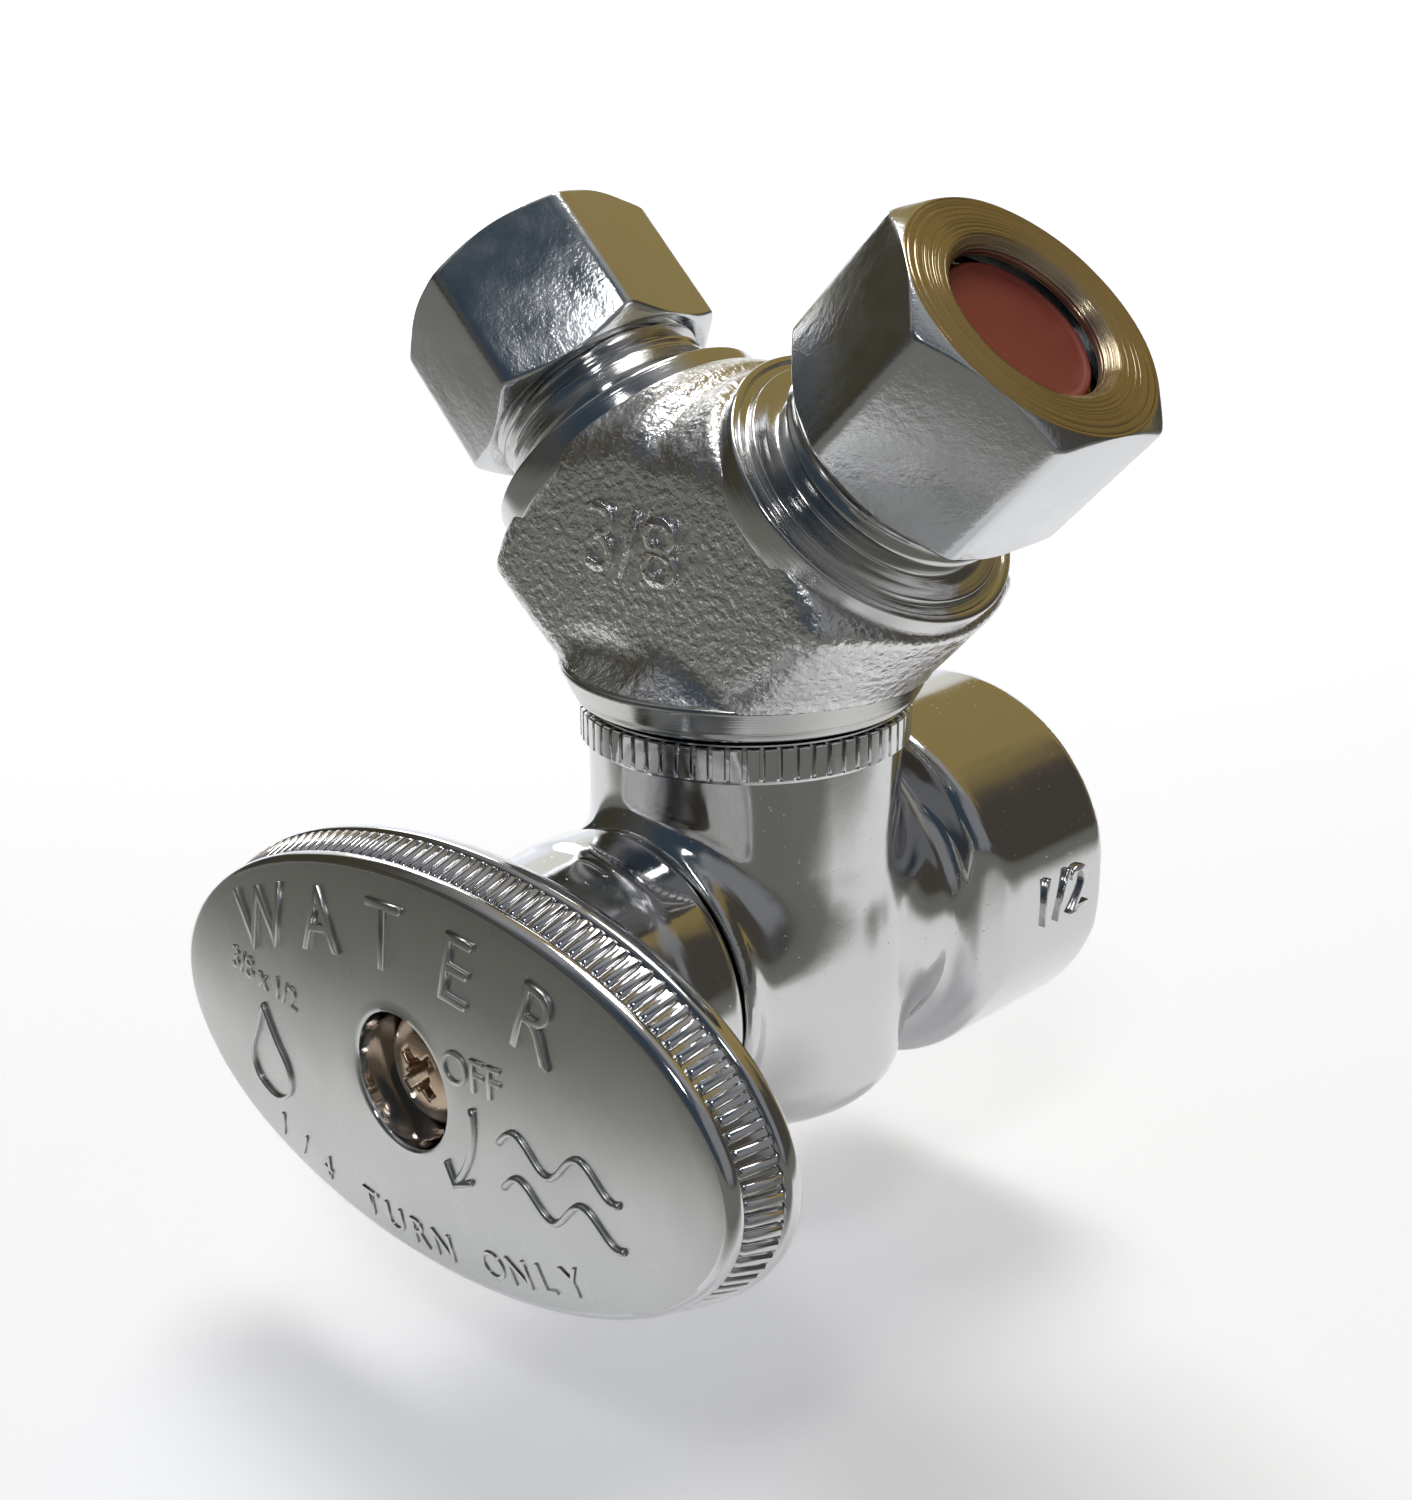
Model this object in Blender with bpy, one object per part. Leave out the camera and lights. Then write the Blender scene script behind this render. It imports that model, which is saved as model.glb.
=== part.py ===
"""Quarter-turn angle stop valve with two 3/8 in compression outlets in a V.

Frame: origin at the centre of the inlet mouth, +Y out of the mouth towards the wall pipe,
+Z up along the barrel, +X towards the right-hand outlet as seen from the handle side.
Modelled in metres; the named dimensions below are in millimetres and go through mm().
"""
import bpy
import bmesh
from math import cos, pi, radians, sin, sqrt
from mathutils import Matrix, Vector

# ---------------------------------------------------------------- driving dimensions (mm)
BARREL_Y = -22.8            # barrel axis, behind the inlet mouth plane
BARREL_R = 9.66             # barrel, just under the knurled band
BARREL_LOW_R = 9.95         # cast barrel swells slightly towards its dome
DOME_Z = -11.15             # lowest point of the rounded barrel bottom
BAND_R = 10.2               # knurled band round the barrel mouth
BAND_Z0 = 13.5
BAND_Z1 = 15.65             # barrel rim
BOSS_R = 9.4                # front boss that the handle hub meets
BOSS_Y = -9.9               # boss face, from the barrel axis
GLAND_R = 5.4               # stem gland hidden inside the handle hub
GLAND_Y = -17.0
INLET_R = 12.18             # inlet outside radius
INLET_BORE_R = 9.9          # 1/2 in pipe thread, mean radius at the mouth
INLET_SHOULDER = 10.9       # where the full inlet radius starts, from the barrel axis
FLAT_X = 11.9               # wrench flats either side of the inlet
FLAT_START = 12.6
CAVITY_R = 7.4              # ball chamber
UNION_R = 8.25              # threaded barrel mouth
BALL_R = 6.4
PORT_R = 3.2
STEM_R = 3.1
STEM_BORE_R = 3.45
SKIRT_Z0 = 16.03            # underside of the branch skirt
SKIRT_Z1 = 18.1
SKIRT_R0 = 10.53
SKIRT_R1 = 11.37
V_Z = 20.32                 # where the two outlet axes meet
V_ANGLE = 45.0              # each outlet leans this far from upright
FORGING_R = 9.5
FORGING_Y = 9.0             # half thickness of the flat-faced forging
COLLAR_R = 9.36
COLLAR_D = 13.78            # collar face, from the V point along the outlet
THREAD_R = 7.144            # 9/16-24 male thread, crest radius
SHANK_D = 23.9              # end of the threaded outlet
SOCKET_R = 4.85             # takes 3/8 in (9.525 mm) tube
NUT_AF = 15.875             # 5/8 in across flats
NUT_D0 = 17.62
NUT_D1 = 27.72
NUT_BORE_R = 7.46
NUT_FACE_R = 7.9
NUT_TURN = {"right": 118.4, "left": 133.6}   # how each hexagon stands, degrees
PLUG_D = 25.85              # outer face of the dust plug
HANDLE_A = 24.3             # half length, half width of the oval at its back rim
HANDLE_B = 12.6
HANDLE_FACE_A = 23.45
HANDLE_FACE_B = 11.95
HANDLE_BACK_Y = -22.4
HANDLE_FACE_Y = -26.7
DOME = 1.2                  # how far the middle of the face stands proud of its edge
HANDLE_CANT = 4.0           # the oval stands this far from level when open, degrees
POCKET_R = 3.93             # screw pocket in the handle face

ROUND = 40                  # sides of a large turned piece
SMALL = 26                  # sides of a small turned piece


def mm(*values):
    """Millimetres to metres."""
    if len(values) == 1:
        return values[0] * 0.001
    return tuple(v * 0.001 for v in values)


# ---------------------------------------------------------------- small helpers
def clear_scene():
    for item in list(bpy.data.objects):
        bpy.data.objects.remove(item, do_unlink=True)


def material(name, colour, roughness, metallic):
    mat = bpy.data.materials.new(name)
    mat.use_nodes = True
    shader = mat.node_tree.nodes["Principled BSDF"]
    shader.inputs["Base Color"].default_value = (*colour, 1.0)
    shader.inputs["Roughness"].default_value = roughness
    shader.inputs["Metallic"].default_value = metallic
    mat.diffuse_color = (*colour, 1.0)
    return mat


def finish(name, bm, mat, turn, place):
    """Turn a bmesh into an object; the mesh is turned first, the object is then placed."""
    bmesh.ops.transform(bm, matrix=turn, verts=bm.verts)
    bmesh.ops.recalc_face_normals(bm, faces=bm.faces)
    mesh = bpy.data.meshes.new(name)
    bm.to_mesh(mesh)
    bm.free()
    if mat:
        mesh.materials.append(mat)
    mesh.shade_smooth()
    mesh.set_sharp_from_angle(angle=radians(32))
    obj = bpy.data.objects.new(name, mesh)
    obj.location = place
    bpy.context.collection.objects.link(obj)
    return obj


def turned_bmesh(profile, sides):
    """Closed surface of revolution about Z from (radius, height) points in mm.

    A profile that starts and ends on the axis makes a solid; one that stays off the axis
    closes on itself and makes a ring.
    """
    bm = bmesh.new()
    rings = []
    for radius, height in profile:
        if radius < 1e-6:
            rings.append([bm.verts.new(mm(0.0, 0.0, height))])
            continue
        ring = []
        for i in range(sides):
            a = 2.0 * pi * i / sides
            ring.append(bm.verts.new(mm(radius * cos(a), radius * sin(a), height)))
        rings.append(ring)
    pairs = list(zip(rings, rings[1:]))
    if len(rings[0]) > 1 and len(rings[-1]) > 1:
        pairs.append((rings[-1], rings[0]))
    for low, high in pairs:
        for i in range(sides):
            j = (i + 1) % sides
            if len(low) == 1 and len(high) == 1:
                continue
            if len(low) == 1:
                bm.faces.new((low[0], high[j], high[i]))
            elif len(high) == 1:
                bm.faces.new((low[i], low[j], high[0]))
            else:
                bm.faces.new((low[i], low[j], high[j], high[i]))
    return bm


def turned(name, profile, mat=None, sides=ROUND, turn=Matrix(), place=(0.0, 0.0, 0.0)):
    return finish(name, turned_bmesh(profile, sides), mat, turn, place)


def prism(name, outline, z0, z1, mat=None, turn=Matrix(), place=(0.0, 0.0, 0.0)):
    """Straight prism on a flat outline in mm, from height z0 to z1."""
    bm = bmesh.new()
    base = bm.faces.new([bm.verts.new(mm(x, y, z0)) for x, y in outline])
    grown = bmesh.ops.extrude_face_region(bm, geom=[base])
    lifted = [v for v in grown["geom"] if isinstance(v, bmesh.types.BMVert)]
    bmesh.ops.translate(bm, vec=mm(0.0, 0.0, z1 - z0), verts=lifted)
    return finish(name, bm, mat, turn, place)


def block(name, size, centre, mat=None, place=(0.0, 0.0, 0.0)):
    x, y, z = size[0] / 2, size[1] / 2, size[2] / 2
    outline = [(-x, -y), (x, -y), (x, y), (-x, y)]
    return prism(name, outline, -z, z, mat, Matrix.Translation(mm(*centre)), place)


def combine(target, other, operation):
    """Boolean with a helper object that stays out of the model."""
    other.hide_render = True
    other.display_type = 'WIRE'
    mod = target.modifiers.new(operation.lower() + "_" + other.name, 'BOOLEAN')
    mod.operation = operation
    mod.solver = 'EXACT'
    mod.object = other


def along_y():
    """Turns a piece built about +Z so that it lies about +Y."""
    return Matrix.Rotation(radians(-90.0), 4, 'X')


def outlet_turn(side):
    """Turns a piece built about +Z onto an outlet axis."""
    lean = V_ANGLE if side == "right" else -V_ANGLE
    return Matrix.Rotation(radians(lean), 4, 'Y')


def turned_on_outlet(name, profile, side, sides=ROUND, mat=None):
    """Turned shape on an outlet axis; its facets are stepped round a little on each side,
    so that no facet edges of the two arms land on one another where they meet."""
    step = 3.7 if side == "left" else 1.2
    turn = outlet_turn(side) @ Matrix.Rotation(radians(step), 4, 'Z')
    return turned(name, profile, mat, sides, turn, V_POINT)


def oval(a, b, count):
    return [(a * cos(2 * pi * i / count), b * sin(2 * pi * i / count))
            for i in range(count)]


AXIS = mm(0.0, BARREL_Y, 0.0)          # ball centre: barrel axis meets handle axis
V_POINT = mm(0.0, BARREL_Y, V_Z)       # where the outlet axes meet


# ---------------------------------------------------------------- valve body
def valve_body(mat):
    barrel = [(0.0, DOME_Z)]
    for i in range(1, 8):
        a = radians(90.0 * i / 7)
        barrel.append((1.82 + 8.13 * sin(a), DOME_Z + 4.18 * (1 - cos(a))))
    barrel += [(BARREL_LOW_R, -3.0), (BARREL_R, 6.0), (BARREL_R, BAND_Z0 - 0.4),
               (BAND_R, BAND_Z0), (BAND_R, BAND_Z1 - 0.2), (BAND_R - 0.2, BAND_Z1),
               (0.0, BAND_Z1)]
    body = turned("valve_body", barrel, mat, ROUND, Matrix(), AXIS)

    front = [(0.0, 2.0), (BOSS_R - 0.4, 2.0), (BOSS_R - 0.4, -7.3), (BOSS_R, BOSS_Y + 0.3),
             (BOSS_R - 0.3, BOSS_Y), (GLAND_R, BOSS_Y), (GLAND_R, GLAND_Y + 0.4), (GLAND_R - 0.4, GLAND_Y),
             (0.0, GLAND_Y)]
    combine(body, turned("front_boss", front, None, ROUND, along_y(), AXIS), 'UNION')

    end = -BARREL_Y
    back = [(0.0, 1.0), (9.3, 1.0), (9.5, 9.3), (10.3, 9.8), (11.5, 10.2),
            (INLET_R, INLET_SHOULDER), (INLET_R, end - 0.5), (INLET_R - 0.5, end),
            (0.0, end)]
    inlet = turned("inlet_boss", back, None, 48, along_y(), AXIS)
    for sign in (-1, 1):
        length = end - FLAT_START + 2.0
        flat = block("flat_%d" % sign, (4.0, length, 30.0),
                     (sign * (FLAT_X + 2.0), FLAT_START + length / 2, 0.0), None, AXIS)
        combine(inlet, flat, 'DIFFERENCE')
    combine(body, inlet, 'UNION')

    chamber = [(0.0, -9.0), (5.6, -9.0), (CAVITY_R, -8.2), (CAVITY_R, 8.3),
               (UNION_R, 8.3), (UNION_R, 14.1), (9.5, 14.1), (9.5, BAND_Z1 + 1.0),
               (0.0, BAND_Z1 + 1.0)]
    combine(body, turned("chamber", chamber, None, 40, Matrix(), AXIS), 'DIFFERENCE')

    stem_way = [(0.0, -2.0), (4.8, -2.0), (4.8, -8.9), (STEM_BORE_R, -8.9),
                (STEM_BORE_R, GLAND_Y - 1.0), (0.0, GLAND_Y - 1.0)]
    combine(body, turned("stem_way", stem_way, None, SMALL, along_y(), AXIS), 'DIFFERENCE')

    bore = [(0.0, 4.0), (4.2, 4.0), (4.2, 10.8), (9.35, 10.8), (INLET_BORE_R - 0.2, 12.4),
            (INLET_BORE_R + 0.15, end - 1.0), (INLET_BORE_R + 1.0, end + 0.5),
            (0.0, end + 0.5)]
    combine(body, turned("inlet_bore", bore, None, ROUND, along_y(), AXIS), 'DIFFERENCE')
    return body


# ---------------------------------------------------------------- branch fitting
def outlet_solid(name, side):
    """Machined collar and threaded shank of one outlet, about its own axis."""
    profile = [(0.0, 8.0), (COLLAR_R - 0.7, 8.0), (COLLAR_R, 11.6), (COLLAR_R, COLLAR_D - 0.2),
               (COLLAR_R - 0.2, COLLAR_D), (6.75, COLLAR_D), (6.75, COLLAR_D + 1.2),
               (THREAD_R, COLLAR_D + 1.7), (THREAD_R, SHANK_D - 0.5),
               (THREAD_R - 0.5, SHANK_D), (0.0, SHANK_D)]
    return turned_on_outlet(name, profile, side)


def outlet_bore(name, side):
    profile = [(0.0, 0.6), (PORT_R, 0.6), (PORT_R, 17.0), (SOCKET_R, 17.0),
               (SOCKET_R, 21.9), (6.74, SHANK_D + 0.8), (6.74, SHANK_D + 2.0),
               (0.0, SHANK_D + 2.0)]
    return turned_on_outlet(name, profile, side, SMALL)


def branch_fitting(mat):
    trunk = [(0.0, 8.6), (UNION_R - 0.4, 8.6), (UNION_R - 0.3, 9.0), (UNION_R - 0.3, 13.8),
             (7.3, 14.1), (7.3, SKIRT_Z0), (SKIRT_R0, SKIRT_Z0), (SKIRT_R1, SKIRT_Z1),
             (SKIRT_R1 - 0.2, SKIRT_Z1 + 0.3), (0.0, SKIRT_Z1 + 0.3)]
    branch = turned("branch_fitting", trunk, mat, ROUND, Matrix(), AXIS)

    arm_profile = [(0.0, -4.0), (7.6, -4.0), (9.2, -1.0), (FORGING_R, 3.0),
                   (FORGING_R, COLLAR_D - 1.4), (0.0, COLLAR_D - 1.4)]
    forging = turned_on_outlet("arm_right", arm_profile, "right", 44)
    arm_left = turned_on_outlet("arm_left", arm_profile, "left", 44)
    combine(forging, arm_left, 'UNION')
    # flat-faced web between the arms: a six-sided plate, trimmed by a cone about the barrel
    plate = [(-9.9, 17.6), (9.9, 17.6), (15.2, 22.23), (1.53, 35.9), (-1.53, 35.9),
             (-15.2, 22.23)]
    web = prism("web", plate, -FORGING_Y - 0.6, FORGING_Y + 0.6, None,
                Matrix.Rotation(radians(90.0), 4, 'X'), AXIS)
    flare = [(0.0, 16.5), (9.6, 16.5), (17.0, 24.37), (17.0, 38.0), (0.0, 38.0)]
    combine(web, turned("web_flare", flare, None, 44, Matrix(), AXIS), 'INTERSECT')
    combine(forging, web, 'UNION')
    root = [(0.0, 17.0), (11.0, 17.0), (11.0, 18.6), (10.5, 20.2), (8.0, 23.5), (0.0, 23.5)]
    combine(forging, turned("forging_root", root, None, ROUND, Matrix(), AXIS), 'UNION')
    slab = block("forging_faces", (60.0, 2 * FORGING_Y, 40.0),
                 (0.0, 0.0, SKIRT_Z1 + 0.1 + 20.0), None, AXIS)
    combine(forging, slab, 'INTERSECT')
    combine(branch, forging, 'UNION')
    for side in ("right", "left"):
        combine(branch, outlet_solid("outlet_" + side, side), 'UNION')
    riser = [(0.0, 7.0), (PORT_R + 0.2, 7.0), (PORT_R + 0.2, V_Z), (2.2, V_Z + 1.7),
             (0.0, V_Z + 2.3)]
    combine(branch, turned("riser", riser, None, SMALL, Matrix(), AXIS), 'DIFFERENCE')
    for side in ("right", "left"):
        combine(branch, outlet_bore("bore_" + side, side), 'DIFFERENCE')
    return branch


# ---------------------------------------------------------------- outlet hardware
def compression_nut(side, mat):
    corner = NUT_AF / sqrt(3.0)
    start = NUT_TURN[side]
    outline = [(corner * cos(radians(start + 60 * k)), corner * sin(radians(start + 60 * k)))
               for k in range(6)]
    # angle zero of the hexagon is +Y, so the outline is turned a quarter first
    turn = outlet_turn(side) @ Matrix.Rotation(radians(90.0), 4, 'Z')
    nut = prism(side + "_compression_nut", outline, NUT_D0, NUT_D1, mat, turn, V_POINT)

    rise = (corner + 0.4 - NUT_FACE_R) * 0.5774
    envelope = [(0.0, NUT_D0), (NUT_FACE_R, NUT_D0), (corner + 0.4, NUT_D0 + rise),
                (corner + 0.4, NUT_D1 - rise), (NUT_FACE_R, NUT_D1), (0.0, NUT_D1)]
    envelope[0] = (0.0, NUT_D0 - 0.001)
    envelope[1] = (NUT_FACE_R, NUT_D0 - 0.001)
    envelope[4] = (NUT_FACE_R, NUT_D1 + 0.001)
    envelope[5] = (0.0, NUT_D1 + 0.001)
    combine(nut, turned(side + "_nut_chamfer", envelope, None, ROUND, outlet_turn(side),
                        V_POINT), 'INTERSECT')
    bore = [(0.0, NUT_D0 - 1.0), (NUT_BORE_R + 0.3, NUT_D0 - 1.0), (NUT_BORE_R, NUT_D0 + 0.5),
            (NUT_BORE_R, 25.0), (6.4, 25.2), (SOCKET_R, 26.75), (SOCKET_R, 27.3),
            (SOCKET_R + 0.5, NUT_D1 + 0.2), (0.0, NUT_D1 + 0.2)]
    combine(nut, turned(side + "_nut_bore", bore, None, SMALL, outlet_turn(side), V_POINT),
            'DIFFERENCE')
    return nut


def ferrule(side, mat):
    profile = [(4.8, 22.9), (5.15, 22.9), (5.82, 24.0), (5.82, 24.9), (5.1, 25.8),
               (4.8, 25.8)]
    return turned(side + "_ferrule", profile, mat, SMALL, outlet_turn(side), V_POINT)


def dust_plug(side, mat):
    """Plain plug that keeps dirt out of the outlet until the tube is fitted."""
    profile = [(0.0, 18.2), (4.1, 18.2), (4.42, 18.5), (4.42, PLUG_D - 0.35), (4.1, PLUG_D),
               (0.0, PLUG_D)]
    return turned(side + "_dust_plug", profile, mat, SMALL, outlet_turn(side), V_POINT)


# ---------------------------------------------------------------- shut-off parts
def ball(mat):
    sphere = []
    for i in range(13):
        a = pi * i / 12
        sphere.append((BALL_R * sin(a) if 0 < i < 12 else 0.0, -BALL_R * cos(a)))
    piece = turned("ball", sphere, mat, SMALL, along_y(), AXIS)
    inlet_way = [(0.0, -1.0), (PORT_R, -1.0), (PORT_R, 8.0), (0.0, 8.0)]
    combine(piece, turned("ball_inlet", inlet_way, None, 24, along_y(), AXIS), 'DIFFERENCE')
    outlet_way = [(0.0, -1.2), (PORT_R, -1.2), (PORT_R, 8.0), (0.0, 8.0)]
    combine(piece, turned("ball_outlet", outlet_way, None, 24, Matrix(), AXIS), 'DIFFERENCE')
    slot = block("ball_slot", (2.6, 4.0, 16.0), (0.0, -6.6, 0.0), None, AXIS)
    combine(piece, slot, 'DIFFERENCE')
    return piece


def seat(name, sign, mat):
    """Seat ring whose inner corner is a cone lying just off the ball."""
    profile = [(3.6, 8.2), (7.05, 8.2), (7.05, 4.2), (5.5, 4.2), (3.6, 5.95)]
    return turned(name, [(r, sign * z) for r, z in profile], mat, ROUND, Matrix(), AXIS)


def stem(mat):
    """Stem, about +Y: tongue in the ball slot, flange, two seal grooves, square end."""
    grooves = []
    for centre in (-11.4, -14.6):
        grooves += [(STEM_R, centre + 0.9), (1.95, centre + 0.9), (1.95, centre - 0.9),
                    (STEM_R, centre - 0.9)]
    profile = [(0.0, -6.8), (4.2, -6.8), (4.2, -7.7), (STEM_R, -7.7)]
    profile += grooves
    profile += [(STEM_R, -17.6), (0.0, -17.6)]
    piece = turned("stem", profile, mat, SMALL, along_y(), AXIS)
    combine(piece, block("stem_tongue", (1.9, 2.4, 7.4), (0.0, -6.15, 0.0), None, AXIS), 'UNION')
    combine(piece, block("stem_square", (4.2, 5.4, 4.2), (0.0, -19.8, 0.0), None, AXIS), 'UNION')
    hole = [(0.0, -18.3), (1.0, -18.6), (1.8, -18.8), (1.8, -23.5), (0.0, -23.5)]
    combine(piece, turned("stem_hole", hole, None, 16, along_y(), AXIS), 'DIFFERENCE')
    return piece


def torus_ring(name, radius, section, height, mat, turn, place, sides=SMALL):
    profile = []
    for i in range(8):
        a = 2 * pi * i / 8
        profile.append((radius + section * cos(a), height + section * sin(a)))
    return turned(name, profile, mat, sides, turn, place)


def thrust_washer(mat):
    profile = [(3.45, -8.05), (4.45, -8.05), (4.45, -8.6), (3.45, -8.6)]
    return turned("stem_thrust_washer", profile, mat, SMALL, along_y(), AXIS)


# ---------------------------------------------------------------- handle and screw
def handle(mat):
    """Oval handle: plate with a gently domed face, conical hub, screw pocket."""
    count = 60
    cant = Matrix.Rotation(radians(-HANDLE_CANT), 4, 'Y')
    bm = bmesh.new()
    # half length, half width, distance in front of the back rim plane
    depth = HANDLE_BACK_Y - HANDLE_FACE_Y
    levels = [(HANDLE_A - 2.4, HANDLE_B - 2.4, 0.9), (HANDLE_A - 0.9, HANDLE_B - 0.9, 0.0),
              (HANDLE_A - 0.3, HANDLE_B - 0.3, 0.0), (HANDLE_A, HANDLE_B, 0.35),
              (HANDLE_A, HANDLE_B, 1.3),
              (HANDLE_FACE_A, HANDLE_FACE_B, depth - 0.85),
              (HANDLE_FACE_A - 0.25, HANDLE_FACE_B - 0.25, depth - 0.2),
              (HANDLE_FACE_A - 0.8, HANDLE_FACE_B - 0.8, depth),
              (HANDLE_FACE_A * 0.62, HANDLE_FACE_B * 0.62, depth + DOME * 0.62)]
    loops = []
    for a, b, up in levels:
        y = HANDLE_BACK_Y - up
        loops.append([bm.verts.new(mm(px, y, pz)) for px, pz in oval(a, b, count)])
    for low, high in zip(loops, loops[1:]):
        for i in range(count):
            j = (i + 1) % count
            bm.faces.new((low[i], low[j], high[j], high[i]))
    back = bm.verts.new(mm(0.0, HANDLE_BACK_Y - 0.9, 0.0))
    front = bm.verts.new(mm(0.0, HANDLE_BACK_Y - depth - DOME, 0.0))
    for i in range(count):
        j = (i + 1) % count
        bm.faces.new((loops[0][j], loops[0][i], back))
        bm.faces.new((loops[-1][i], loops[-1][j], front))
    piece = finish("handle", bm, mat, cant, AXIS)

    hub = [(0.0, -10.25), (9.35, -10.25), (9.65, -10.7), (9.65, -13.8), (9.35, -18.0),
           (9.2, -20.6), (9.5, -21.9), (10.4, -23.8), (0.0, -23.8)]
    combine(piece, turned("handle_hub", hub, None, ROUND, along_y(), AXIS), 'UNION')
    hollow = [(0.0, -9.0), (7.4, -9.0), (6.6, -12.0), (6.2, -17.5), (5.6, -18.2), (0.0, -18.2)]
    combine(piece, turned("hub_hollow", hollow, None, SMALL, along_y(), AXIS), 'DIFFERENCE')
    socket = block("stem_socket", (4.9, 6.0, 4.9), (0.0, -19.9, 0.0), None, AXIS)
    combine(piece, socket, 'DIFFERENCE')
    pocket = [(0.0, -22.0), (2.0, -22.0), (2.0, -23.9), (POCKET_R - 0.15, -23.9),
              (POCKET_R, -27.4), (POCKET_R + 0.5, -29.0), (0.0, -29.0)]
    combine(piece, turned("screw_pocket", pocket, None, SMALL, along_y(), AXIS), 'DIFFERENCE')
    return piece


def handle_screw(mat):
    profile = [(0.0, -19.2), (1.1, -19.2), (1.45, -19.6), (1.45, -24.2), (3.3, -24.2),
               (3.35, -24.6), (2.9, -25.5), (1.9, -25.95), (0.0, -26.05)]
    piece = turned("handle_screw", profile, mat, 24, along_y(), AXIS)
    for i in range(2):
        turn = Matrix.Rotation(radians(45.0 + 90.0 * i), 4, 'Y')
        bm = bmesh.new()
        near = [bm.verts.new(mm(x, -24.7, z)) for x, z in
                ((-0.9, -0.3), (0.9, -0.3), (0.9, 0.3), (-0.9, 0.3))]
        far = [bm.verts.new(mm(x, -26.4, z)) for x, z in
               ((-1.75, -0.42), (1.75, -0.42), (1.75, 0.42), (-1.75, 0.42))]
        bm.faces.new(near)
        bm.faces.new(far)
        for k in range(4):
            m = (k + 1) % 4
            bm.faces.new((near[k], near[m], far[m], far[k]))
        combine(piece, finish("recess_%d" % i, bm, None, turn, AXIS), 'DIFFERENCE')
    return piece


# ---------------------------------------------------------------- assembly
def pivot(name, location):
    empty = bpy.data.objects.new(name, None)
    empty.location = location
    empty.empty_display_size = 0.01
    bpy.context.collection.objects.link(empty)
    return empty


def adopt(parent, pieces):
    bpy.context.view_layer.update()
    for piece in pieces:
        piece.parent = parent
        piece.matrix_parent_inverse = parent.matrix_world.inverted()


def build():
    clear_scene()
    chrome = material("polished_chrome", (0.62, 0.62, 0.63), 0.12, 1.0)
    cast = material("satin_chrome_forging", (0.48, 0.47, 0.45), 0.34, 1.0)
    nut_chrome = material("nut_chrome", (0.60, 0.61, 0.62), 0.2, 1.0)
    face = material("satin_chrome_handle", (0.58, 0.58, 0.58), 0.25, 1.0)
    brass = material("plain_brass", (0.62, 0.45, 0.19), 0.3, 1.0)
    ball_chrome = material("ball_chrome", (0.66, 0.66, 0.67), 0.08, 1.0)
    ptfe = material("white_ptfe", (0.83, 0.83, 0.80), 0.5, 0.0)
    rubber = material("black_rubber", (0.02, 0.02, 0.02), 0.6, 0.0)
    steel = material("bright_screw_steel", (0.52, 0.46, 0.40), 0.25, 1.0)
    red = material("red_polythene", (0.38, 0.05, 0.03), 0.4, 0.0)

    body = valve_body(chrome)
    branch = branch_fitting(cast)
    seal = torus_ring("branch_seal", 8.5, 0.62, 15.0, rubber, Matrix(), AXIS, ROUND)
    seats = [seat("lower_seat", -1, ptfe), seat("upper_seat", 1, ptfe)]
    root = pivot("valve_frame", (0.0, 0.0, 0.0))
    adopt(root, [body, branch, seal] + seats)

    turning = [handle(face), handle_screw(steel), stem(brass), ball(ball_chrome),
               thrust_washer(ptfe)]
    turning.append(torus_ring("stem_o_ring_inner", 2.7, 0.42, -11.4, rubber, along_y(), AXIS))
    turning.append(torus_ring("stem_o_ring_outer", 2.7, 0.42, -14.6, rubber, along_y(), AXIS))
    adopt(pivot("handle_axis", AXIS), turning)

    for side in ("right", "left"):
        hardware = [compression_nut(side, nut_chrome), ferrule(side, brass),
                    dust_plug(side, red)]
        adopt(pivot(side + "_outlet_axis", V_POINT), hardware)


build()
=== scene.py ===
"""Looks of a chrome dual outlet angle stop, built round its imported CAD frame.

Lengths in the builders below are millimetres, measured from the point where the barrel axis
meets the handle axis; place() moves them into the frame of the model, in metres.
"""
import bpy
import bmesh
import numpy as np
from math import cos, degrees, hypot, pi, radians, sin, sqrt
from mathutils import Matrix, Vector


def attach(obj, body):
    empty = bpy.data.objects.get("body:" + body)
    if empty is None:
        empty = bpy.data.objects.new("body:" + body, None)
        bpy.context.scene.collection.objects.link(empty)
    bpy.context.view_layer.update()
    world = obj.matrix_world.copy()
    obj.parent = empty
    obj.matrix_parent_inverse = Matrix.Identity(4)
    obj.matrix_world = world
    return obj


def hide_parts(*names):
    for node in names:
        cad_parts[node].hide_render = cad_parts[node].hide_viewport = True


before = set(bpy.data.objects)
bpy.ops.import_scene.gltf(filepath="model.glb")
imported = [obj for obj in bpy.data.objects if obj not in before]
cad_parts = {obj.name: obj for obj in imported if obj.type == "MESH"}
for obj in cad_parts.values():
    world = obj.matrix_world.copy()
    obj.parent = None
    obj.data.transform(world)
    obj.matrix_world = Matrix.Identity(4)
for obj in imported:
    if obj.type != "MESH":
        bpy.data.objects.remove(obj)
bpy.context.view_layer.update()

# ------------------------------------------------------------------ sizes (mm)
BARREL_Y = -22.8          # barrel axis behind the inlet mouth
V_Z = 20.32               # outlets meet here
LEAN = radians(45.0)      # outlets lean this far out
BAND_R = 10.2             # crest of the knurl round the barrel's mouth
FLAT_X = 11.9             # wrench flats of the inlet, each side of its axis
FORGING_HALF = 9.0        # half the forging's thickness between its flat faces
SKIRT_Z0, SKIRT_Z1, SKIRT_R1 = 16.03, 18.1, 11.37
COLLAR_R, COLLAR_D = 9.36, 13.78
THREAD_R, PITCH, SHANK_D = 7.144, 1.0583, 23.9
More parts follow.
